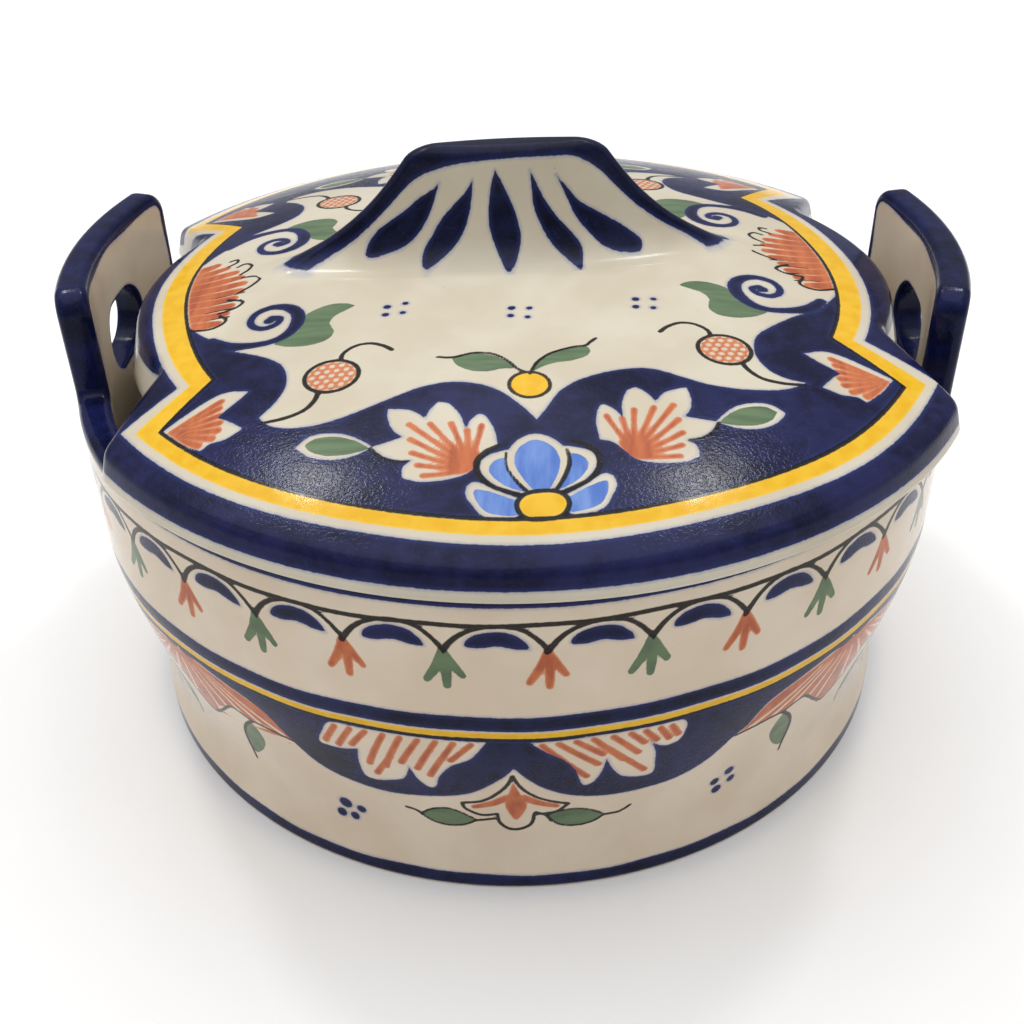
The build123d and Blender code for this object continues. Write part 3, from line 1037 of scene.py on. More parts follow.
def paint_bud(brush):
    """A green bud left light in the cobalt."""
    shape = [*sharp(-46.6, -68.6), (-43.7, -66.2), (-39, -66.5), (-35.5, -68.4), *sharp(-32.4, -71.4),
             (-36, -73), (-40, -73.1), (-44, -71.4)]
    brush.spare("blue", brush.shape(shape))
    brush.fill("green", [*sharp(-45, -68.4), (-42.8, -67), (-39, -67.4), (-35.8, -69), *sharp(-32.8, -71.6),
                         (-36, -72.3), (-40, -72.2), (-43.2, -70.7)])
    brush.stroke("black", [(-32.9, -71.6), (-31.3, -74), (-29, -75.5), (-26, -76)], [0.4, 0.38, 0.36, 0.3])


def paint_half_flower(brush):
    """A light flower, seen from its side, with rust strokes."""
    shape = [
        *sharp(-73.2, -55.8), (-68.5, -52.3), (-64, -49.2), (-60.5, -48.1), *sharp(-56.2, -49.3),
        (-58.5, -52), (-60.6, -54), *sharp(-62, -55.6), (-60, -57), *sharp(-56.6, -60.4), (-60, -62.2),
        (-63, -62.5), *sharp(-64.6, -63.8), (-69, -60.4),
    ]
    brush.spare("blue", brush.shape(shape))
    for end in ((-61.6, -50.7), (-61.8, -52.8), (-61.5, -55), (-61.4, -57.2), (-61.6, -59.3), (-62.6, -61.2),
                (-65.2, -62.2)):
        middle = ((end[0] - 72) / 2, (end[1] - 56.6) / 2 - 0.2)
        brush.stroke("rust", [(-72, -56.6), middle, end], [0.3, 0.72, 0.92])


def paint_side_flower(brush):
    """Rust petals at one end of the field, split by light gaps, with black scallops round their tips."""
    petals = ((-18.6, -66, -20.6), (-15.8, -64.6, -17), (-12.8, -63.6, -13.6), (-9.8, -63.2, -10.2),
              (-6.8, -62, -6.8), (-3.6, -61.6, -3.2), (-0.4, -62.4, 0.4), (2.8, -64, 3.8), (5.8, -66.4, 7.4),
              (8.4, -69, 10.4))
    for y, x, end in petals:
        middle = ((-76 + x) / 2, (y + end) / 2 - 0.4)
        brush.stroke("rust", [(-76, y + 0.4), middle, (x, end)], [1.6, 1.9, 1.3])
    for (y, x, end), (following, next_x, next_end) in zip(petals, petals[1:]):
        gap = [(-75, (y + following) / 2 + 0.4),
               ((x + next_x) / 4 - 37.5, (y + following + end + next_end) / 4 - 0.4),
               ((x + next_x) / 2 + 1.6, (end + next_end) / 2)]
        brush.spare("rust", brush.path(gap, [-0.25, 0.02, 0.34]))
        if y < -9:      # only the front gaps are lined in black
            brush.stroke("black", [(start + 0.3, height + 0.25) for start, height in gap[1:]], [0.16, 0.3])
    for scallop in (
        [(-72, -21.2), (-68, -22.4), (-65.3, -21.8), (-64, -19.8), (-65.6, -17.4)],
        [(-66, -16.4), (-62.4, -15.2), (-60.8, -13), (-62.6, -11.4), (-64.4, -10.6)],
        [(-62.6, -8.4), (-59.6, -5.6), (-57.7, -2.4), (-59, -0.4), (-62, 0)],
        [(-62.5, 2), (-60.8, 4), (-60.2, 6.4), (-61.8, 8), (-63.6, 6.8)],
        [(-66, 8.2), (-64, 9.8), (-64.2, 11.6), (-65.8, 11.2)],
    ):
        brush.stroke("black", scallop, 0.42)


def paint_flower(brush):
    """The half of the centre flower left of its axis."""
    axis = flower_axis
    upper = [*sharp(-4.6, -86), *sharp(-6.6, -85.9), (-10, -84.5), (-12.8, -81.2), (-13.5, -78.6),
             (-12.1, -76.6), (-9.3, -75.5), (-6.4, -75.4), (-5.6, -79)]
    lower = [*sharp(-6.6, -87.1), (-8.9, -85.9), (-12.1, -83.7), (-14.3, -82.5), *sharp(-15.9, -83.2),
             (-16.2, -85.4), (-15, -88), (-12.9, -90.6), (-7.3, -91.2)]
    for petal, sky in (
        (upper, [*sharp(-4.6, -85.8), (-6.4, -85.4), (-9, -84), (-11, -81.8), (-11.7, -79.4), (-10, -77.4),
                 (-6.8, -77.6), (-5.6, -81)]),
        (lower, [*sharp(-6.8, -87.8), (-8.9, -86.6), (-12.1, -84.9), (-14.7, -84.4), (-14.1, -87.6),
                 (-12.1, -89.9), (-7.3, -90.8)]),
    ):
        brush.spare("blue", brush.shape(petal))
        brush.fill("sky", sky)
    brush.stroke("black", [(-9.4, -74), (-11.8, -75.3), (-13.7, -77.6), (-13.6, -80.8), (-11.4, -83.8),
                           (-6.8, -86.2)], [0.5, 0.62, 0.66, 0.6, 0.52, 0.5])
    top = [*sharp(axis, -87), (-5.6, -84.4), (-8.2, -79.2), (-7, -74.2), (axis - 0.2, -71.6),
           (2 * axis + 7, -74.2), (2 * axis + 8.2, -79.2), (2 * axis + 5.6, -84.4)]
    found = brush.shape(top)
    for pigment, margin in (("blue", 0), ("black", 0), ("sky", 0.2)):
        brush.spare(pigment, found, margin)
    brush.fill("sky", [(axis, -86.6), (-4.9, -84), (-6.6, -79.2), (-5.7, -75.2), (axis, -73.1),
                       (2 * axis + 6, -75.2), (2 * axis + 6.9, -79.2), (2 * axis + 4.9, -84)])
    brush.stroke("black", [(-8.2, -76), (-8.3, -79.4), (-6.8, -83.2), (-5, -86)], [0.34, 0.46, 0.46, 0.42])
    centre = [(-7.3, -88.6), (-5.8, -86.3), (axis, -85.7), (2 * axis + 5.8, -86.3), (2 * axis + 7.3, -88.6),
              (2 * axis + 6, -91.4), (axis, -92), (-6, -91.4)]
    found = brush.shape(centre)
    for pigment in ("blue", "sky"):
        brush.spare(pigment, found)
    brush.lay("yellow", found, 0.4)
    brush.edge("black", found, 0.5)


def paint_middle_berry(brush):
    """A yellow berry between two green leaves, at the tip of the field in front."""
    brush.dot("yellow", (-1.7, -57.4), 4.1)
    index, distance = brush.disc((-1.7, -57.4), 4.1)
    brush.edge("black", (index, distance - 0.1), 0.42)
    brush.fill("green", [*sharp(-16.4, -46.7), (-15.5, -49.3), (-12.8, -51.6), (-9.5, -52.3), (-6.5, -51.7),
                         *sharp(-3.8, -52), (-5.3, -49.3), (-8, -46.9), (-11, -45.7), (-14, -45.8)])
    brush.stroke("black", [(-19.2, -46), (-16, -46.5), (-12, -45.4), (-8, -46.3), (-5.2, -49.2), (-3.6, -52),
                           (-2, -53.4)], [0.4, 0.42, 0.38, 0.38, 0.38, 0.4, 0.4])
    brush.fill("green", [*sharp(-0.6, -53.3), (0.2, -50.5), (2.5, -48), (6, -46), (9.5, -45.5),
                         *sharp(11.2, -45.3), (11.6, -47.2), (10.5, -49), (7.5, -50.3), (4, -50.8),
                         (1.5, -51.8)])
    brush.stroke("black", [(-1.2, -54), (0.4, -50.4), (3.6, -47.2), (8.3, -45.4), (10.8, -45.1), (12, -43.8),
                           (13.2, -42.5)], [0.4, 0.38, 0.36, 0.36, 0.4, 0.42, 0.42])


def paint_lid(flat):
    """All pigments on the lid, from its plan and the distance in from its edge."""
    plan, inward, below = flat[:, :2], flat[:, 2], flat[:, 3]
    wander = np.stack([0.25 * np.sin(plan[:, 1] / 9 + 1) + 0.2 * np.sin(plan[:, 0] / 13),
                       0.25 * np.sin(plan[:, 0] / 11 + 2) + 0.2 * np.sin(plan[:, 1] / 7)], -1)
    painter = Painter(plan + wander)
    cobalt, cream, ground = (lid_band(plan + wander, *line) for line in band_lines)
    left, right = np.array(field_left), np.array(field_right)
    field = smooth(np.vstack([
        left, lid_flip(left, False, True)[::-1], lid_flip(right, False, True), right[::-1],
    ]), closed=True, steps=4)
    away = distance_to_line(painter.plan, field)
    in_field = np.where(inside_line(painter.plan, field), away, -away)
    painter.wash("blue", np.minimum(inward + edge_drop, -cobalt))
    painter.wash("blue", np.minimum(ground - 0.4, -in_field))
    painter.wash("yellow", np.minimum(cream, -ground))
    painter.wash("black", 0.45 - np.abs(ground - 0.3))
    for along in (False, True):
        for across in (False, True):
            brush = painter.moved(lambda points: lid_flip(points, across, along))
            for motif in (paint_spiral, paint_berry, paint_palmette, paint_bud, paint_half_flower):
                motif(brush)
        brush = painter.moved(lambda points: lid_flip(points, False, along))
        paint_middle_berry(brush)
        paint_flower(brush)
        paint_flower(painter.moved(lambda points: mirrored_at(lid_flip(points, False, along), flower_axis)))
        for x, y, spread in dot_groups:
            for aside, up, radius in dot_group:
                brush.dot("blue", (x + aside + spread, y + up + spread * aside * 0.4), radius)
    for across in (False, True):
        paint_side_flower(painter.moved(lambda points: lid_flip(points, across, False)))
    painter.hold(("rust", "sky", "green"), ground - 0.8)
    for layer in painter.layers.values():
        layer[below > 0.5] = -FAR
    return painter.layers


def mirrored_at(points, axis):
    """Points mirrored in an upright line of the plan."""
    return np.stack([2 * axis - points[:, 0], points[:, 1]], -1)


def kept(piece, layers):
    """Writes the pigments to the piece as attributes."""
    for pigment, layer in layers.items():
        attribute = piece.data.attributes.new(pigment, "FLOAT", "POINT")
        attribute.data.foreach_set("value", layer.astype(np.float32))


kept(pieces["lid_shell"][0], paint_lid(pieces["lid_shell"][1]))


# ---------------------------------------------------------------- the wall's painting
arches = 32
arch_pitch = 2 * pi * wall_radius / arches
arch_start, arch_crowding = 9.6, 3.7
band_pitch = 2 * pi * wall_radius / 4
fleur_place, fan_place = 2.8, 81.7
wall_tilt = 1.2           # mm that the painted rings rise on the right

# Heights of the wall's rings
ground_top = 50.9
lower_line = 51.1
yellow_ring = (51.4, 53.1)
cobalt_ring = (53.5, 57.3)
upper_line = 79.6
rim_start = 83.6

# Cobalt over the edges: down the rim's inside, in from a handle's edge outside and inside, round a hole
rim_drop_inside = 1.6
handle_border = (4.2, 2.7)
hole_ring = 0.8


def wrapped(points, place, pitch):
    """Plan points of a frieze in the frame of its nearest repeat."""
    return np.stack([(points[:, 0] - place + pitch / 2) % pitch - pitch / 2, points[:, 1]], -1)


def arch_frame(points):
    """Wall points in the frame of their pair of arches; the arches crowd towards the sides."""
    travel = points[:, 0] - arch_start
    for _ in range(6):
        travel = points[:, 0] - arch_start + arch_crowding * np.sin(travel / wall_radius)
    return wrapped(np.stack([travel, points[:, 1]], -1), 0, 2 * arch_pitch)


def paint_arches(brush):
    """A pair of arches with their beans, a rust tuft between them and green ones beside them."""
    for x in (-arch_pitch, 0):
        brush.stroke("black", [(x, 73.3), (x + 2.2, 76.4), (x + 5.2, 78.6), (x + 9.3, 79.6), (x + 14, 79),
                               (x + 17, 77), (x + 19.7, 74)], [0.75, 0.62, 0.52, 0.5, 0.5, 0.5, 0.6])
        brush.fill("blue", [(x + 4.4, 74.8), (x + 4.6, 76.3), (x + 6.4, 77.7), (x + 9.8, 78.4),
                            (x + 13.2, 77.7), (x + 15.6, 75.7), *sharp(x + 16.4, 74), (x + 13.8, 74.2),
                            (x + 10.3, 75), (x + 7, 74.5)])
    for x, pigment in ((0, "rust"), (-arch_pitch, "green"), (arch_pitch, "green")):
        for blade, width in (
            ([(-0.3, 73.8), (-1.1, 70), (-3.4, 66.2)], [0.5, 1.05, 0.8]),
            ([(0, 73.8), (0.5, 69.4), (0.4, 65)], [0.5, 1.05, 0.85]),
            ([(0.3, 73.6), (1.6, 70.6), (3.6, 67.6)], [0.5, 1.0, 0.75]),
        ):
            brush.stroke(pigment, [(x + across, up) for across, up in blade], width)


# The lower border of the cobalt ground in one repeat, right and left of the fleur's tip
ground_right = [
    (5.5, 37.5), (9, 33.5), (14, 30.2), (20, 28.2), (26, 27.3), (32, 27.3), (38, 28), (43, 29.8),
    (47, 32.5), (50.5, 36.8), *sharp(51.5, 37.8), (53.5, 39.5), (56.5, 44.5), (60, 46.6), (66, 48.3),
    (74, 49.8), (81.5, 50.4),
]
ground_left = [
    (0.6, 37.6), (-5, 32.5), (-10, 30), (-17, 28.3), (-24, 27.6), (-31, 28.2), (-38, 29.8), (-42.5, 32.3),
    (-45.6, 36), *sharp(-46.6, 37.6), (-48.2, 39.8), (-51, 44.2), (-54.6, 46.6), (-60.6, 48.3),
    (-68.6, 49.8), (-75.9, 50.4),
]


def paint_leaf(brush, outline, strokes):
    """A cream leaf left in the cobalt, with rust hatching."""
    brush.spare("blue", brush.shape(outline))
    for start, end in strokes:
        brush.stroke("rust", [start, end], [0.75, 0.85])


def paint_fleur(brush):
    """A fleur-de-lis with rust arms between two green leaves."""
    outline = [
        *sharp(2.7, 38.5), (1.5, 35), (-1, 31.5), (-4.5, 28.5), *sharp(-9, 27.3), (-8.3, 25), (-5, 23),
        *sharp(-1.5, 23.6), (-1, 20.5), (1, 18.2), (3.5, 17.9), (6, 19.5), *sharp(6.7, 23.2), (9.5, 23.3),
        (12, 24), *sharp(14.3, 26.6), (11, 27.8), (8, 29.5), (5.5, 32), (3.8, 35),
    ]
    brush.spare("blue", brush.shape(outline), 0.2)
    brush.edge("black", brush.shape(outline), 0.46)
    brush.fill("rust", [*sharp(2.7, 36.5), (1.6, 32), (0.4, 27.4), (1.2, 23.6), (2.7, 21.2), (4.3, 23.6),
                        (5.2, 27.2), (3.9, 32)])
    for arm in ([(1, 30), (-2, 27.8), (-6.4, 26)], [(4.6, 30), (7.4, 27.8), (11.6, 26)]):
        brush.stroke("rust", arm, [1.1, 1.1, 0.8])
    for leaf, tendrils in (
        ([*sharp(-18.8, 21), (-16, 23.4), (-12.5, 24.4), (-9.5, 23.3), *sharp(-6, 20.8), (-9, 18.7),
          (-12.5, 18), (-16, 18.8)],
         ([(-22, 22.8), (-20, 22.2), (-18.5, 21)], [(-6, 20.8), (-4, 21.3), (-2, 21.8)])),
        ([*sharp(9.3, 22.5), (12, 23.8), (16, 24.2), (20, 22.5), *sharp(22.5, 20.3), (20, 18.5), (16, 17.8),
          (12, 19)],
         ([(22.5, 20.3), (26, 20.2), (28.5, 21.8)], [(7, 24), (9.3, 22.5), (10.5, 20.3)])),
    ):
        brush.fill("green", leaf)
        brush.edge("black", brush.shape(leaf), 0.34)
        for tendril in tendrils:
            brush.stroke("black", tendril, 0.42)


def paint_band(brush):
    """One repeat of the lambrequins below the waist, drawn about the fleur."""
    paint_leaf(brush, [
        *sharp(6, 50.2), (18, 50.4), (30, 50.3), (36, 50), (37.3, 47.5), (36.5, 43.5), (34, 42.6),
        (31.5, 43.8), *sharp(29.8, 45.7), (31.5, 42), (32.3, 38), (32.5, 33), (29, 32.8), (25.5, 34.5),
        (23.2, 38),
        *sharp(21.5, 42), (21, 37.5), (19.5, 34), (17.5, 33.3), (16.5, 36), (15.5, 39.5), (13, 43.5), (9, 47),
    ], (
        ((8.2, 49.2), (18, 36.5)), ((11.4, 49.3), (20, 40.5)), ((14.8, 49.4), (20.6, 43.8)),
        ((18.2, 49.4), (25.3, 40.6)), ((22, 49.3), (28, 42.2)), ((21.6, 45.4), (30.4, 35)),
        ((25.5, 49.3), (28.8, 45.4)), ((28.5, 49.3), (31.3, 45.4)), ((31.5, 49.2), (34, 45)),
        ((34, 49), (35.8, 45.6)),
    ))
    paint_leaf(brush, [
        *sharp(-2.5, 50.2), (-16, 50.4), (-28, 50.3), (-34, 50), (-36.5, 46), (-38.2, 41.8), (-36, 41.2),
        (-32.5, 41.5), *sharp(-29, 42.8), (-30, 38), (-30, 33), (-28, 31.8), (-24.5, 32.5), (-20.5, 34.5),
        *sharp(-18.5, 39.5), (-17.5, 35), (-15.5, 32.3), (-13.8, 33), (-12.5, 37), (-9.5, 41.5), (-5.5, 44.5),
    ], (
        ((-33, 49.2), (-36.4, 43)), ((-29.7, 49.3), (-33.5, 42.6)), ((-26.5, 49.3), (-30.2, 43.8)),
        ((-22.7, 49.4), (-27.5, 38)), ((-19.3, 49.4), (-23.8, 38)), ((-22, 42), (-26.6, 34.6)),
        ((-15.8, 49.4), (-20, 40.4)), ((-12.3, 49.4), (-16.8, 39)), ((-8.8, 49.3), (-14.4, 37)),
        ((-5.4, 49.2), (-9.5, 43.4)),
    ))
    paint_fleur(brush)
    for x, z, radius in ((-37.5, 18.5, 1.7), (-33.5, 17.8, 1.2), (-39, 14.8, 1.3), (-35.5, 14.8, 1.2),
                         (50, 20.5, 1.2), (51, 17.3, 1.3), (53.7, 22.5, 1.3), (54.8, 19, 1.1)):
        brush.dot("blue", (x, z), radius)


def paint_fan(brush):
    """A rust fan between two lambrequins with a leaf hanging at each side, centred on x = 0."""
    upper = [(-28.2, 39.6), (-25.2, 44.4), (-21.7, 46.5), (-15.7, 48.1), (-7.7, 49.5)]
    lower = [(-22.7, 37.9), (-17.2, 37.7), (-12.2, 38.6), (-8.9, 36.2), (-4.9, 32.4)]
    outline = [*sharp(-30.2, 37.6), *upper, (0, 50.2), *mirrored(upper), *sharp(30.2, 37.6), *mirrored(lower),
               (0, 29.6), *lower[::-1]]
    brush.fill("rust", outline, 0.2)
    for end, start in (((-27, 38.2), (-10, 47.5)), ((-20.5, 38.6), (-8, 47)), ((-14.5, 39), (-6, 47)),
                       ((-9.5, 37), (-3.4, 46.5)), ((-4.5, 33.6), (-1.3, 46))):
        for side in (-1, 1):
            streak = brush.path([(side * start[0], start[1]), (side * end[0], end[1])], [0.16, 0.5])
            brush.spare("rust", streak)
    brush.stroke("black", [(-30.4, 37.2), *lower, (0, 29.3), *mirrored(lower), (30.4, 37.2)], 0.42)
    for side in (-1, 1):
        brush.fill("green", [(side * x, z) for x, z in (
            (16.6, 36.6), (18.6, 31.5), (16.8, 26.5), (13.2, 22.4), (11.2, 23), (11, 27), (12.6, 31.5))])
        brush.stroke("black", [(side * x, z) for x, z in (
            (18, 37.6), (14.6, 34.4), (12.2, 30.4), (11.4, 26), (11.8, 19.6))], 0.45)


def mirrored(points):
    """Points mirrored in x = 0, in the order that goes on round an outline."""
    return [(-x, z) for x, z in points[::-1]]


def paint_wall(flat):
    """All pigments on the bowl's outside below the rim."""
    s, z = flat[:, 0], flat[:, 1]
    rise = wall_tilt * np.sin(s / wall_radius)
    wander = 0.22 * np.sin(s / 8 + 0.5) + 0.14 * np.sin(s / 3.7 + z / 9)
    height = z - rise + wander * 0.7
    painter = Painter(np.stack([s + 0.25 * np.sin(z / 5 + s / 31), height], -1))
    local = painter.moved(lambda points: wrapped(points, fleur_place, band_pitch) + (fleur_place, 0))
    ground = [*ground_right, *sharp(81.5, 64), *sharp(-75.9, 64), *ground_left[::-1], *sharp(3, 41.3)]
    index, found = local.shape(ground)
    painter.layers["blue"][index] = np.minimum(found, ground_top - height[index])
    paint_band(local)
    paint_fan(painter.moved(lambda points: wrapped(points, fan_place, band_pitch)))
    painter.hold(("rust", "green"), ground_top - 0.3 - height)
    painter.hold(("black",), ground_top - height)
    painter.wash("black", 0.42 - np.abs(height - lower_line))
    for pigment, (low, high) in (("yellow", yellow_ring), ("blue", cobalt_ring)):
        painter.wash(pigment, np.minimum(height - low, high - height))
    off_ground = np.full(len(flat), FAR)
    off_ground[index] = -found
    painter.wash("blue", 0.2 - np.abs(ground_top - height) - np.maximum(0, off_ground) * 9)
    paint_arches(painter.moved(arch_frame))
    painter.wash("black", 0.55 - np.abs(height - upper_line - 0.15 * np.sin(s / 14)))
    painter.wash("blue", z + 0.2 * wander - rim_start)
    return {pigment: np.clip(layer, -FAR, FAR) for pigment, layer in painter.layers.items()}


def paint_bowl(flat):
    """The wall's pigments, with cobalt over the rim and round the handles' edges and finger holes."""
    layers = paint_wall(flat)
    s, z, kind = flat[:, 0], flat[:, 1], flat[:, 2]
    for pigment in PIGMENTS:
        layers[pigment][kind != OUTSIDE] = -FAR
    rim = np.select([kind == OUTSIDE, kind == EDGE, kind == INSIDE],
                    [layers["blue"], FAR, z - rim_height + rim_drop_inside], -FAR)
    layers["blue"] = np.clip(rim, -FAR, FAR)
    edge, hole = handle_edge(), hole_edge()
    for turn in (-pi / 2, pi / 2):
        across = s - turn * wall_radius
        near = np.flatnonzero((np.abs(across) < window_half_width) & (z > rim_height - window_depth + 0.1)
                              & (kind <= INSIDE))
        points = np.stack([across[near], z[near]], -1)
        wobble = 0.25 * np.sin(points[:, 0] / 4 + points[:, 1] / 3)
        border = np.where(kind[near] == OUTSIDE, *handle_border) + wobble
        border -= distance_to_line(points, edge, closed=False)
        border = np.where(points[:, 1] < rim_height, np.minimum(border, rim[near]), border)
        ring = hole_ring + wobble - distance_to_line(points, hole)
        blue = np.where(kind[near] == EDGE, FAR, np.maximum(border, ring))
        blue = np.where(points[:, 1] < rim_height - 2, np.maximum(rim[near], ring), blue)
        layers["blue"][near] = np.clip(blue, -FAR, FAR)
    return layers


def paint_foot(flat):
    """The cobalt line round the foot; the foot's underside is left bare."""
    layers = {pigment: np.full(len(flat), -FAR) for pigment in PIGMENTS}
    height = flat[:, 1] + 0.2 * np.sin(flat[:, 0] / 9) + 0.12 * np.sin(flat[:, 0] / 3.1)
    outside = flat[:, 3] > base_radius - 0.6
    layers["blue"] = np.where(outside, np.minimum(4.3 - height, height - 0.2), -FAR)
    layers["bare"] = np.where(flat[:, 1] < 0.35, 1.0, 0.0)
    return layers


# ---------------------------------------------------------------- the grip's painting
grip_drops = (
    [(-16.6, 124), (-17.9, 122.7), (-20.9, 120.9), (-24.2, 118.2), (-28.1, 115.6), (-31, 113.5), (-33, 111),
     (-33.9, 108.9), (-32.4, 108.4), (-28.6, 109.4), (-24.7, 110.9), (-21.3, 113.8), (-18.7, 117.8),
     (-17.3, 121.4)],
    [(-9.2, 124.7), (-10.8, 122.1), (-13.6, 119.3), (-16.4, 116.3), (-18.8, 112.9), (-20.8, 110.1),
     (-21.4, 107.9), (-20.5, 107.1), (-18, 108.1), (-14.7, 110.2), (-11.8, 113.4), (-10, 117.7),
     (-9.4, 121.3)],
    [(-4.3, 126.6), (-5.2, 123.2), (-5.8, 118.1), (-5.8, 114.2), (-4.8, 110.4), (-3.4, 107.5), (-2.3, 106.9),
     (-0.7, 107.8), (0.7, 110.7), (0.9, 113.9), (0, 117.9), (-1.6, 121.5), (-3.3, 124.7)],
    [(3.3, 126.2), (3.7, 122.8), (4.2, 118.6), (5.4, 115.1), (7.3, 111.2), (10.4, 108.2), (13.5, 106.6),
     (14.4, 107.5), (14.4, 109.9), (12.1, 112.9), (9.2, 116.3), (6.6, 120), (4.6, 123.8)],
    [(9.1, 124.8), (10.7, 121.8), (12, 119.1), (13.8, 115.4), (16.2, 112.3), (19.3, 109.4), (23.1, 108),
     (27.6, 107.6), (28.4, 109.3), (25.7, 111.7), (22.9, 113.7), (19.1, 116.1), (14.7, 118.8), (11.5, 122.2)],
)
crest_line = [(-47, 105.6), (-39, 109.6), (-33, 114), (-27.9, 118.8), (-22.2, 124.4), (-16.8, 126.9),
              (-10.5, 128.3), (-1.1, 129), (9.4, 128.9), (12.6, 128.6), (15.8, 127.2), (19.1, 124.8),
              (22.9, 121.2),
              (27.4, 117), (33, 112.6), (38, 109.6), (44, 106.2)]


def paint_grip(flat):
    """Five drops on each face of the grip, and cobalt over its crest and along its tails."""
    painter = Painter(flat[:, :2] + 0.12 * np.sin(flat[:, 1:2] / 3))
    rear = flat[:, 2] > 0
    turned = painter.local.copy()
    turned[rear, 0] = 2 * grip_place[0] - turned[rear, 0]
    painter.local = turned
    for drop in grip_drops:
        painter.fill("blue", [*sharp(*drop[0]), *drop[1:]])
    line = smooth(crest_line)
    over = turned[:, 1] - np.interp(turned[:, 0], line[:, 0], line[:, 1])
    painter.wash("blue", over * 0.8)
    return painter.layers


for node, paint in (("bowl_body", paint_bowl), ("left_handle", paint_bowl), ("right_handle", paint_bowl),
                    ("foot_ring", paint_foot), ("lid_grip", paint_grip)):
    kept(pieces[node][0], paint(pieces[node][1]))


# ---------------------------------------------------------------- glaze
def linear(code):
    """Linear colour of an sRGB hex code."""
    share = np.array([int(code[place:place + 2], 16) for place in (0, 2, 4)]) / 255
    share = np.where(share > 0.04045, ((share + 0.055) / 1.055)**2.4, share / 12.92)
    return (*share.tolist(), 1.0)


class Recipe:
    """A material whose nodes are put together in short calls."""

    def __init__(self, name):
        self.material = bpy.data.materials.new(name)
        self.material.use_nodes = True
        self.tree = self.material.node_tree
        self.shader = self.tree.nodes["Principled BSDF"]
        self.place = self.node("ShaderNodeTexCoord", output=3)

    def join(self, value, socket):
        if isinstance(value, bpy.types.NodeSocket):
            self.tree.links.new(value, socket)
        else:
            socket.default_value = value

    def node(self, kind, values=None, output=0, **settings):
        node = self.tree.nodes.new(kind)
        for name, value in settings.items():
            setattr(node, name, value)
        for socket, value in (values or {}).items():
            self.join(value, node.inputs[socket])
        return node.outputs[output]

    def math(self, operation, *values):
        return self.node("ShaderNodeMath", dict(enumerate(values)), operation=operation)

    def noise(self, per_metre, detail, stretch=(1, 1, 1), turn=(0, 0, 0)):
        """Noise with features about 1 / per_metre wide."""
        place = self.node("ShaderNodeMapping", {0: self.place, 2: turn, 3: stretch})
        return self.node("ShaderNodeTexNoise", {"Vector": place, "Scale": per_metre, "Detail": detail})

    def band(self, value, low, high):
        """0 to 1, smoothly, as a value goes from low to high."""
        return self.node("ShaderNodeMapRange", {0: value, 1: low, 2: high, 3: 0.0, 4: 1.0},
                         interpolation_type="SMOOTHSTEP")

    def mix(self, share, first, second):
        return self.node("ShaderNodeMix", {0: share, 6: first, 7: second}, output=2, data_type="RGBA")

    def attribute(self, name):
        return self.node("ShaderNodeAttribute", attribute_name=name, output=2)

    def between(self, value, low, high, first, second):
        """A colour that goes from one to another as a value goes from low to high."""
        return self.mix(self.band(value, low, high), linear(first), linear(second))

    def over(self, base, share, strength, colour):
        """A colour, or its hex code, laid over another where share says, no denser than strength."""
        colour = linear(colour) if isinstance(colour, str) else colour
        return self.mix(self.math("MULTIPLY", share, strength), base, colour)

    def finish(self, colour, roughness, height, specular):
        """A fired surface: its colour, roughness and the waves of its glaze."""
        bump = self.node("ShaderNodeBump", {"Height": height, "Distance": 0.0006, "Strength": 0.17})
        for socket, value in (("Base Color", colour), ("Roughness", roughness), ("Normal", bump),
                              ("Specular IOR Level", specular)):
            self.join(value, self.shader.inputs[socket])
        return self.material


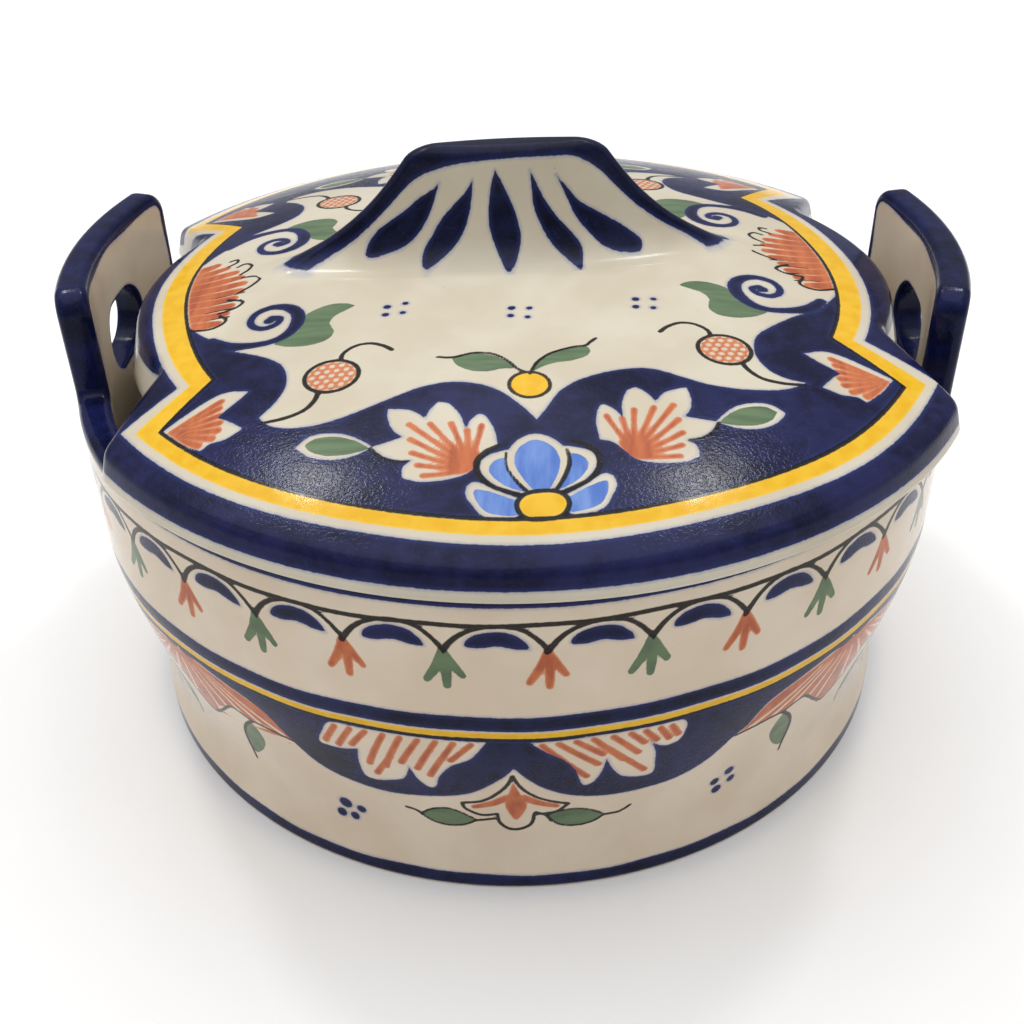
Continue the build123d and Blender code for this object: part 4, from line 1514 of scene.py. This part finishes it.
def painted_glaze(name, cream, shade, thick_cobalt, cobalt, roughness=0.05):
    """Tin glaze painted in high-fire colours; each pigment's strokes come from the piece's attributes."""
    glaze = Recipe(name)
    ragged = glaze.math("MULTIPLY_ADD", glaze.noise(900, 3), 0.34, -0.17)
    broad = glaze.noise(45, 3)
    mottle = glaze.noise(260, 3)
    grain = glaze.noise(1500, 2)
    streaks = glaze.noise(420, 3, stretch=(1, 0.16, 0.5), turn=(0, 0, 0.5))
    streaks_across = glaze.noise(420, 3, stretch=(0.16, 1, 0.5), turn=(0, 0, 0.35))

    def cover(pigment, softness=0.1, ragged_edge=1.0):
        """How fully a pigment's strokes cover a point, with soft, slightly ragged edges."""
        away = glaze.math("ADD", glaze.attribute(pigment), glaze.math("MULTIPLY", ragged, ragged_edge))
        return glaze.band(away, -softness, softness)

    # The white ground: faint clouds, kiln specks and pinholes
    colour = glaze.mix(glaze.band(broad, 0.35, 0.65), linear(shade), linear(cream))
    colour = glaze.over(colour, glaze.band(mottle, 0.42, 0.7), 0.16, shade)
    specks = glaze.node("ShaderNodeTexVoronoi", {"Vector": glaze.place, "Scale": 120.0})
    places = glaze.band(glaze.noise(70, 1), 0.56, 0.66)
    speck = glaze.math("MULTIPLY", glaze.band(specks, 0.05, 0.025), places)
    colour = glaze.over(colour, speck, 0.5, "7b6a55")

    # Cobalt bleeds a little into the white round its strokes
    blue = glaze.attribute("blue")
    reach = glaze.math("MULTIPLY_ADD", mottle, -0.9, -0.35)
    halo = glaze.band(glaze.math("ADD", blue, glaze.math("MULTIPLY", ragged, 1.6)), reach, 0.05)
    colour = glaze.over(colour, halo, 0.42, "6c7eae")

    # The paler pigments; yellow and rust thin out at their strokes' edges
    colour = glaze.mix(cover("sky"), colour, glaze.between(streaks, 0.3, 0.72, "4f70b8", "7290cb"))
    yellow = glaze.between(mottle, 0.35, 0.65, "dca923", "e2b432")
    yellow = glaze.over(yellow, glaze.band(glaze.attribute("yellow"), 0.6, 0.0), 0.3, "e6c560")
    colour = glaze.mix(cover("yellow", 0.16, 1.3), colour, yellow)
    green = glaze.between(streaks_across, 0.3, 0.7, "485f46", "5d7655")
    colour = glaze.over(colour, cover("green", 0.12), 0.95, green)
    rust = glaze.between(streaks, 0.3, 0.7, "a04420", "bf6333")
    rust = glaze.mix(glaze.band(glaze.attribute("rust"), 0.55, 0.05), rust, linear("c67b54"))
    colour = glaze.over(colour, cover("rust", 0.12), 0.93, rust)

    # Cobalt: nearly black where it lies thick, lighter in its grain and at its strokes' edges
    thick = glaze.math("ADD", glaze.math("MULTIPLY", mottle, 0.45), glaze.math("MULTIPLY", broad, 0.55))
    cobalt = glaze.between(thick, 0.36, 0.64, thick_cobalt, cobalt)
    cobalt = glaze.over(cobalt, glaze.band(grain, 0.55, 0.8), 0.35, "2b3365")
    cobalt = glaze.over(cobalt, glaze.band(blue, 1.2, 0.1), 0.4, "2c376f")
    cobalt_cover = cover("blue", 0.13)
    colour = glaze.mix(cobalt_cover, colour, cobalt)
    black = glaze.between(grain, 0.4, 0.7, "0d0c0c", "1d1b1b")
    colour = glaze.over(colour, cover("black", 0.14, 0.7), 0.97, black)

    # Bare clay where the foot ring stands
    bare = glaze.band(glaze.attribute("bare"), 0.3, 0.7)
    colour = glaze.mix(bare, colour, glaze.between(mottle, 0.35, 0.7, "c9a883", "b08a66"))

    # Soft waves, a fine orange peel and small pits in the cobalt
    rough = glaze.math("MULTIPLY_ADD", glaze.noise(600, 3), 0.12, roughness)
    rough = glaze.math("MULTIPLY_ADD", cobalt_cover, 0.05, rough)
    rough = glaze.math("MULTIPLY_ADD", bare, 0.6, rough)
    pits = glaze.math("MULTIPLY", cobalt_cover, glaze.band(grain, 0.42, 0.62))
    peel = glaze.math("MULTIPLY", glaze.noise(700, 2), 0.1)
    height = glaze.math("MULTIPLY_ADD", glaze.noise(110, 2), 1.0, peel)
    height = glaze.math("MULTIPLY_ADD", pits, -0.12, height)
    return glaze.finish(colour, rough, height, 0.12)


def plain_glaze():
    """A cream like the lid's, for the flange, which isn't painted."""
    glaze = Recipe("plain_glaze")
    colour = glaze.between(glaze.noise(45, 3), 0.35, 0.65, "c2b8a2", "cbc2ae")
    rough = glaze.math("MULTIPLY_ADD", glaze.noise(600, 3), 0.12, 0.06)
    return glaze.finish(colour, rough, glaze.noise(110, 2), 0.17)


# The bowl's cream is painted light: it is the same tin glaze as the lid's, made lighter so that the upright
# wall looks as lit as the lid.
lid_cream, bowl_cream_with_painted_light = ("ccc4b2", "c4baa6"), ("dbccb8", "d3c2ac")
lid_glaze = painted_glaze("painted_glaze_lid", *lid_cream, "11132f", "20244c")
# The grip's cobalt is painted shade: darker than the lid's, so that the grip's front face and crest look
# shaded.
grip_glaze_with_painted_shade = painted_glaze("painted_glaze_grip", *lid_cream, "0b0d20", "161a3a", 0.11)
# The bowl's cobalt is painted shade: darker than the lid's, so that the upright wall, lit from above, looks
# shaded.
bowl_glaze_with_painted_light_and_shade = painted_glaze("painted_glaze_bowl", *bowl_cream_with_painted_light, "0a0d26", "171d48")
for node, (piece, _) in pieces.items():
    piece.data.materials.append({"lid_shell": lid_glaze, "lid_grip": grip_glaze_with_painted_shade}.get(node, bowl_glaze_with_painted_light_and_shade))
plain = plain_glaze()
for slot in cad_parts["lid_flange"].material_slots:
    slot.material = plain


# ---------------------------------------------------------------- stage
for leftover in ("Cube", "Light", "Camera"):
    if leftover in bpy.data.objects:
        bpy.data.objects.remove(bpy.data.objects[leftover])

paper = Recipe("paper")
white = paper.mix(paper.noise(30, 3), linear("f4f4f4"), linear("f7f7f7"))
paper.join(white, paper.shader.inputs["Base Color"])
paper.shader.inputs["Roughness"].default_value = 0.9
floor = bpy.data.meshes.new("floor")
floor.from_pydata([(-3, -3, 0), (3, -3, 0), (3, 3, 0), (-3, 3, 0)], [], [(0, 1, 2, 3)])
floor = bpy.data.objects.new("floor", floor)
bpy.context.scene.collection.objects.link(floor)
floor.data.materials.append(paper.material)

bpy.context.scene.view_settings.view_transform = "Standard"
world = bpy.data.worlds.new("world")
bpy.context.scene.world = world
world.use_nodes = True
sky = world.node_tree.nodes["Background"]
sky.inputs["Strength"].default_value = 1.0
ramp = world.node_tree.nodes.new("ShaderNodeValToRGB")
split = world.node_tree.nodes.new("ShaderNodeSeparateXYZ")
around = world.node_tree.nodes.new("ShaderNodeTexCoord")
for output, socket in ((around.outputs["Generated"], split.inputs[0]), (split.outputs["Z"], ramp.inputs[0]),
                       (ramp.outputs[0], sky.inputs["Color"])):
    world.node_tree.links.new(output, socket)
for element, position, grey in zip(ramp.color_ramp.elements, (0.35, 0.95), (0.32, 0.95)):
    element.position = position
    element.color = (grey, grey, grey, 1)


def lamp(name, place, size, energy):
    """A square area light that faces the dish."""
    light = bpy.data.lights.new(name, "AREA")
    light.energy = energy
    light.size = size
    light = bpy.data.objects.new(name, light)
    light.location = place
    light.rotation_euler = (Vector((0, 0, 0.06)) - light.location).to_track_quat("-Z", "Y").to_euler()
    bpy.context.scene.collection.objects.link(light)


lamp("overhead", (-0.1, 0.1, 1.25), 1.6, 9.3)
lamp("left", (-1.4, -0.1, 0.5), 1.0, 1.4)
lamp("right", (1.4, -0.1, 0.5), 1.0, 1.4)
lamp("glint_left", (-0.45, 0.455, 1.08), 0.13, 1.9)
lamp("glint_right", (0.36, 0.465, 1.11), 0.13, 1.9)

# Camera, mm and radians
camera_distance = 328.2
azimuth, elevation, roll = radians(2.7), radians(35.2), radians(-1.3)
back = Vector((sin(azimuth) * cos(elevation), -cos(azimuth) * cos(elevation), sin(elevation)))
right = Vector((cos(azimuth), sin(azimuth), 0))
up = right.cross(-back)
target = right * -1.1 + Vector((0, 0, 33.5))
level = cos(roll) * right + sin(roll) * up
upward = -sin(roll) * right + cos(roll) * up
camera = bpy.data.cameras.new("camera")
camera.lens = 43.95
camera.clip_start = 0.01
camera = bpy.data.objects.new("camera", camera)
camera.matrix_world = (Matrix.Translation((target + back * camera_distance) * MM)
                       @ Matrix((level, upward, back)).transposed().to_4x4())
bpy.context.scene.collection.objects.link(camera)
bpy.context.scene.camera = camera
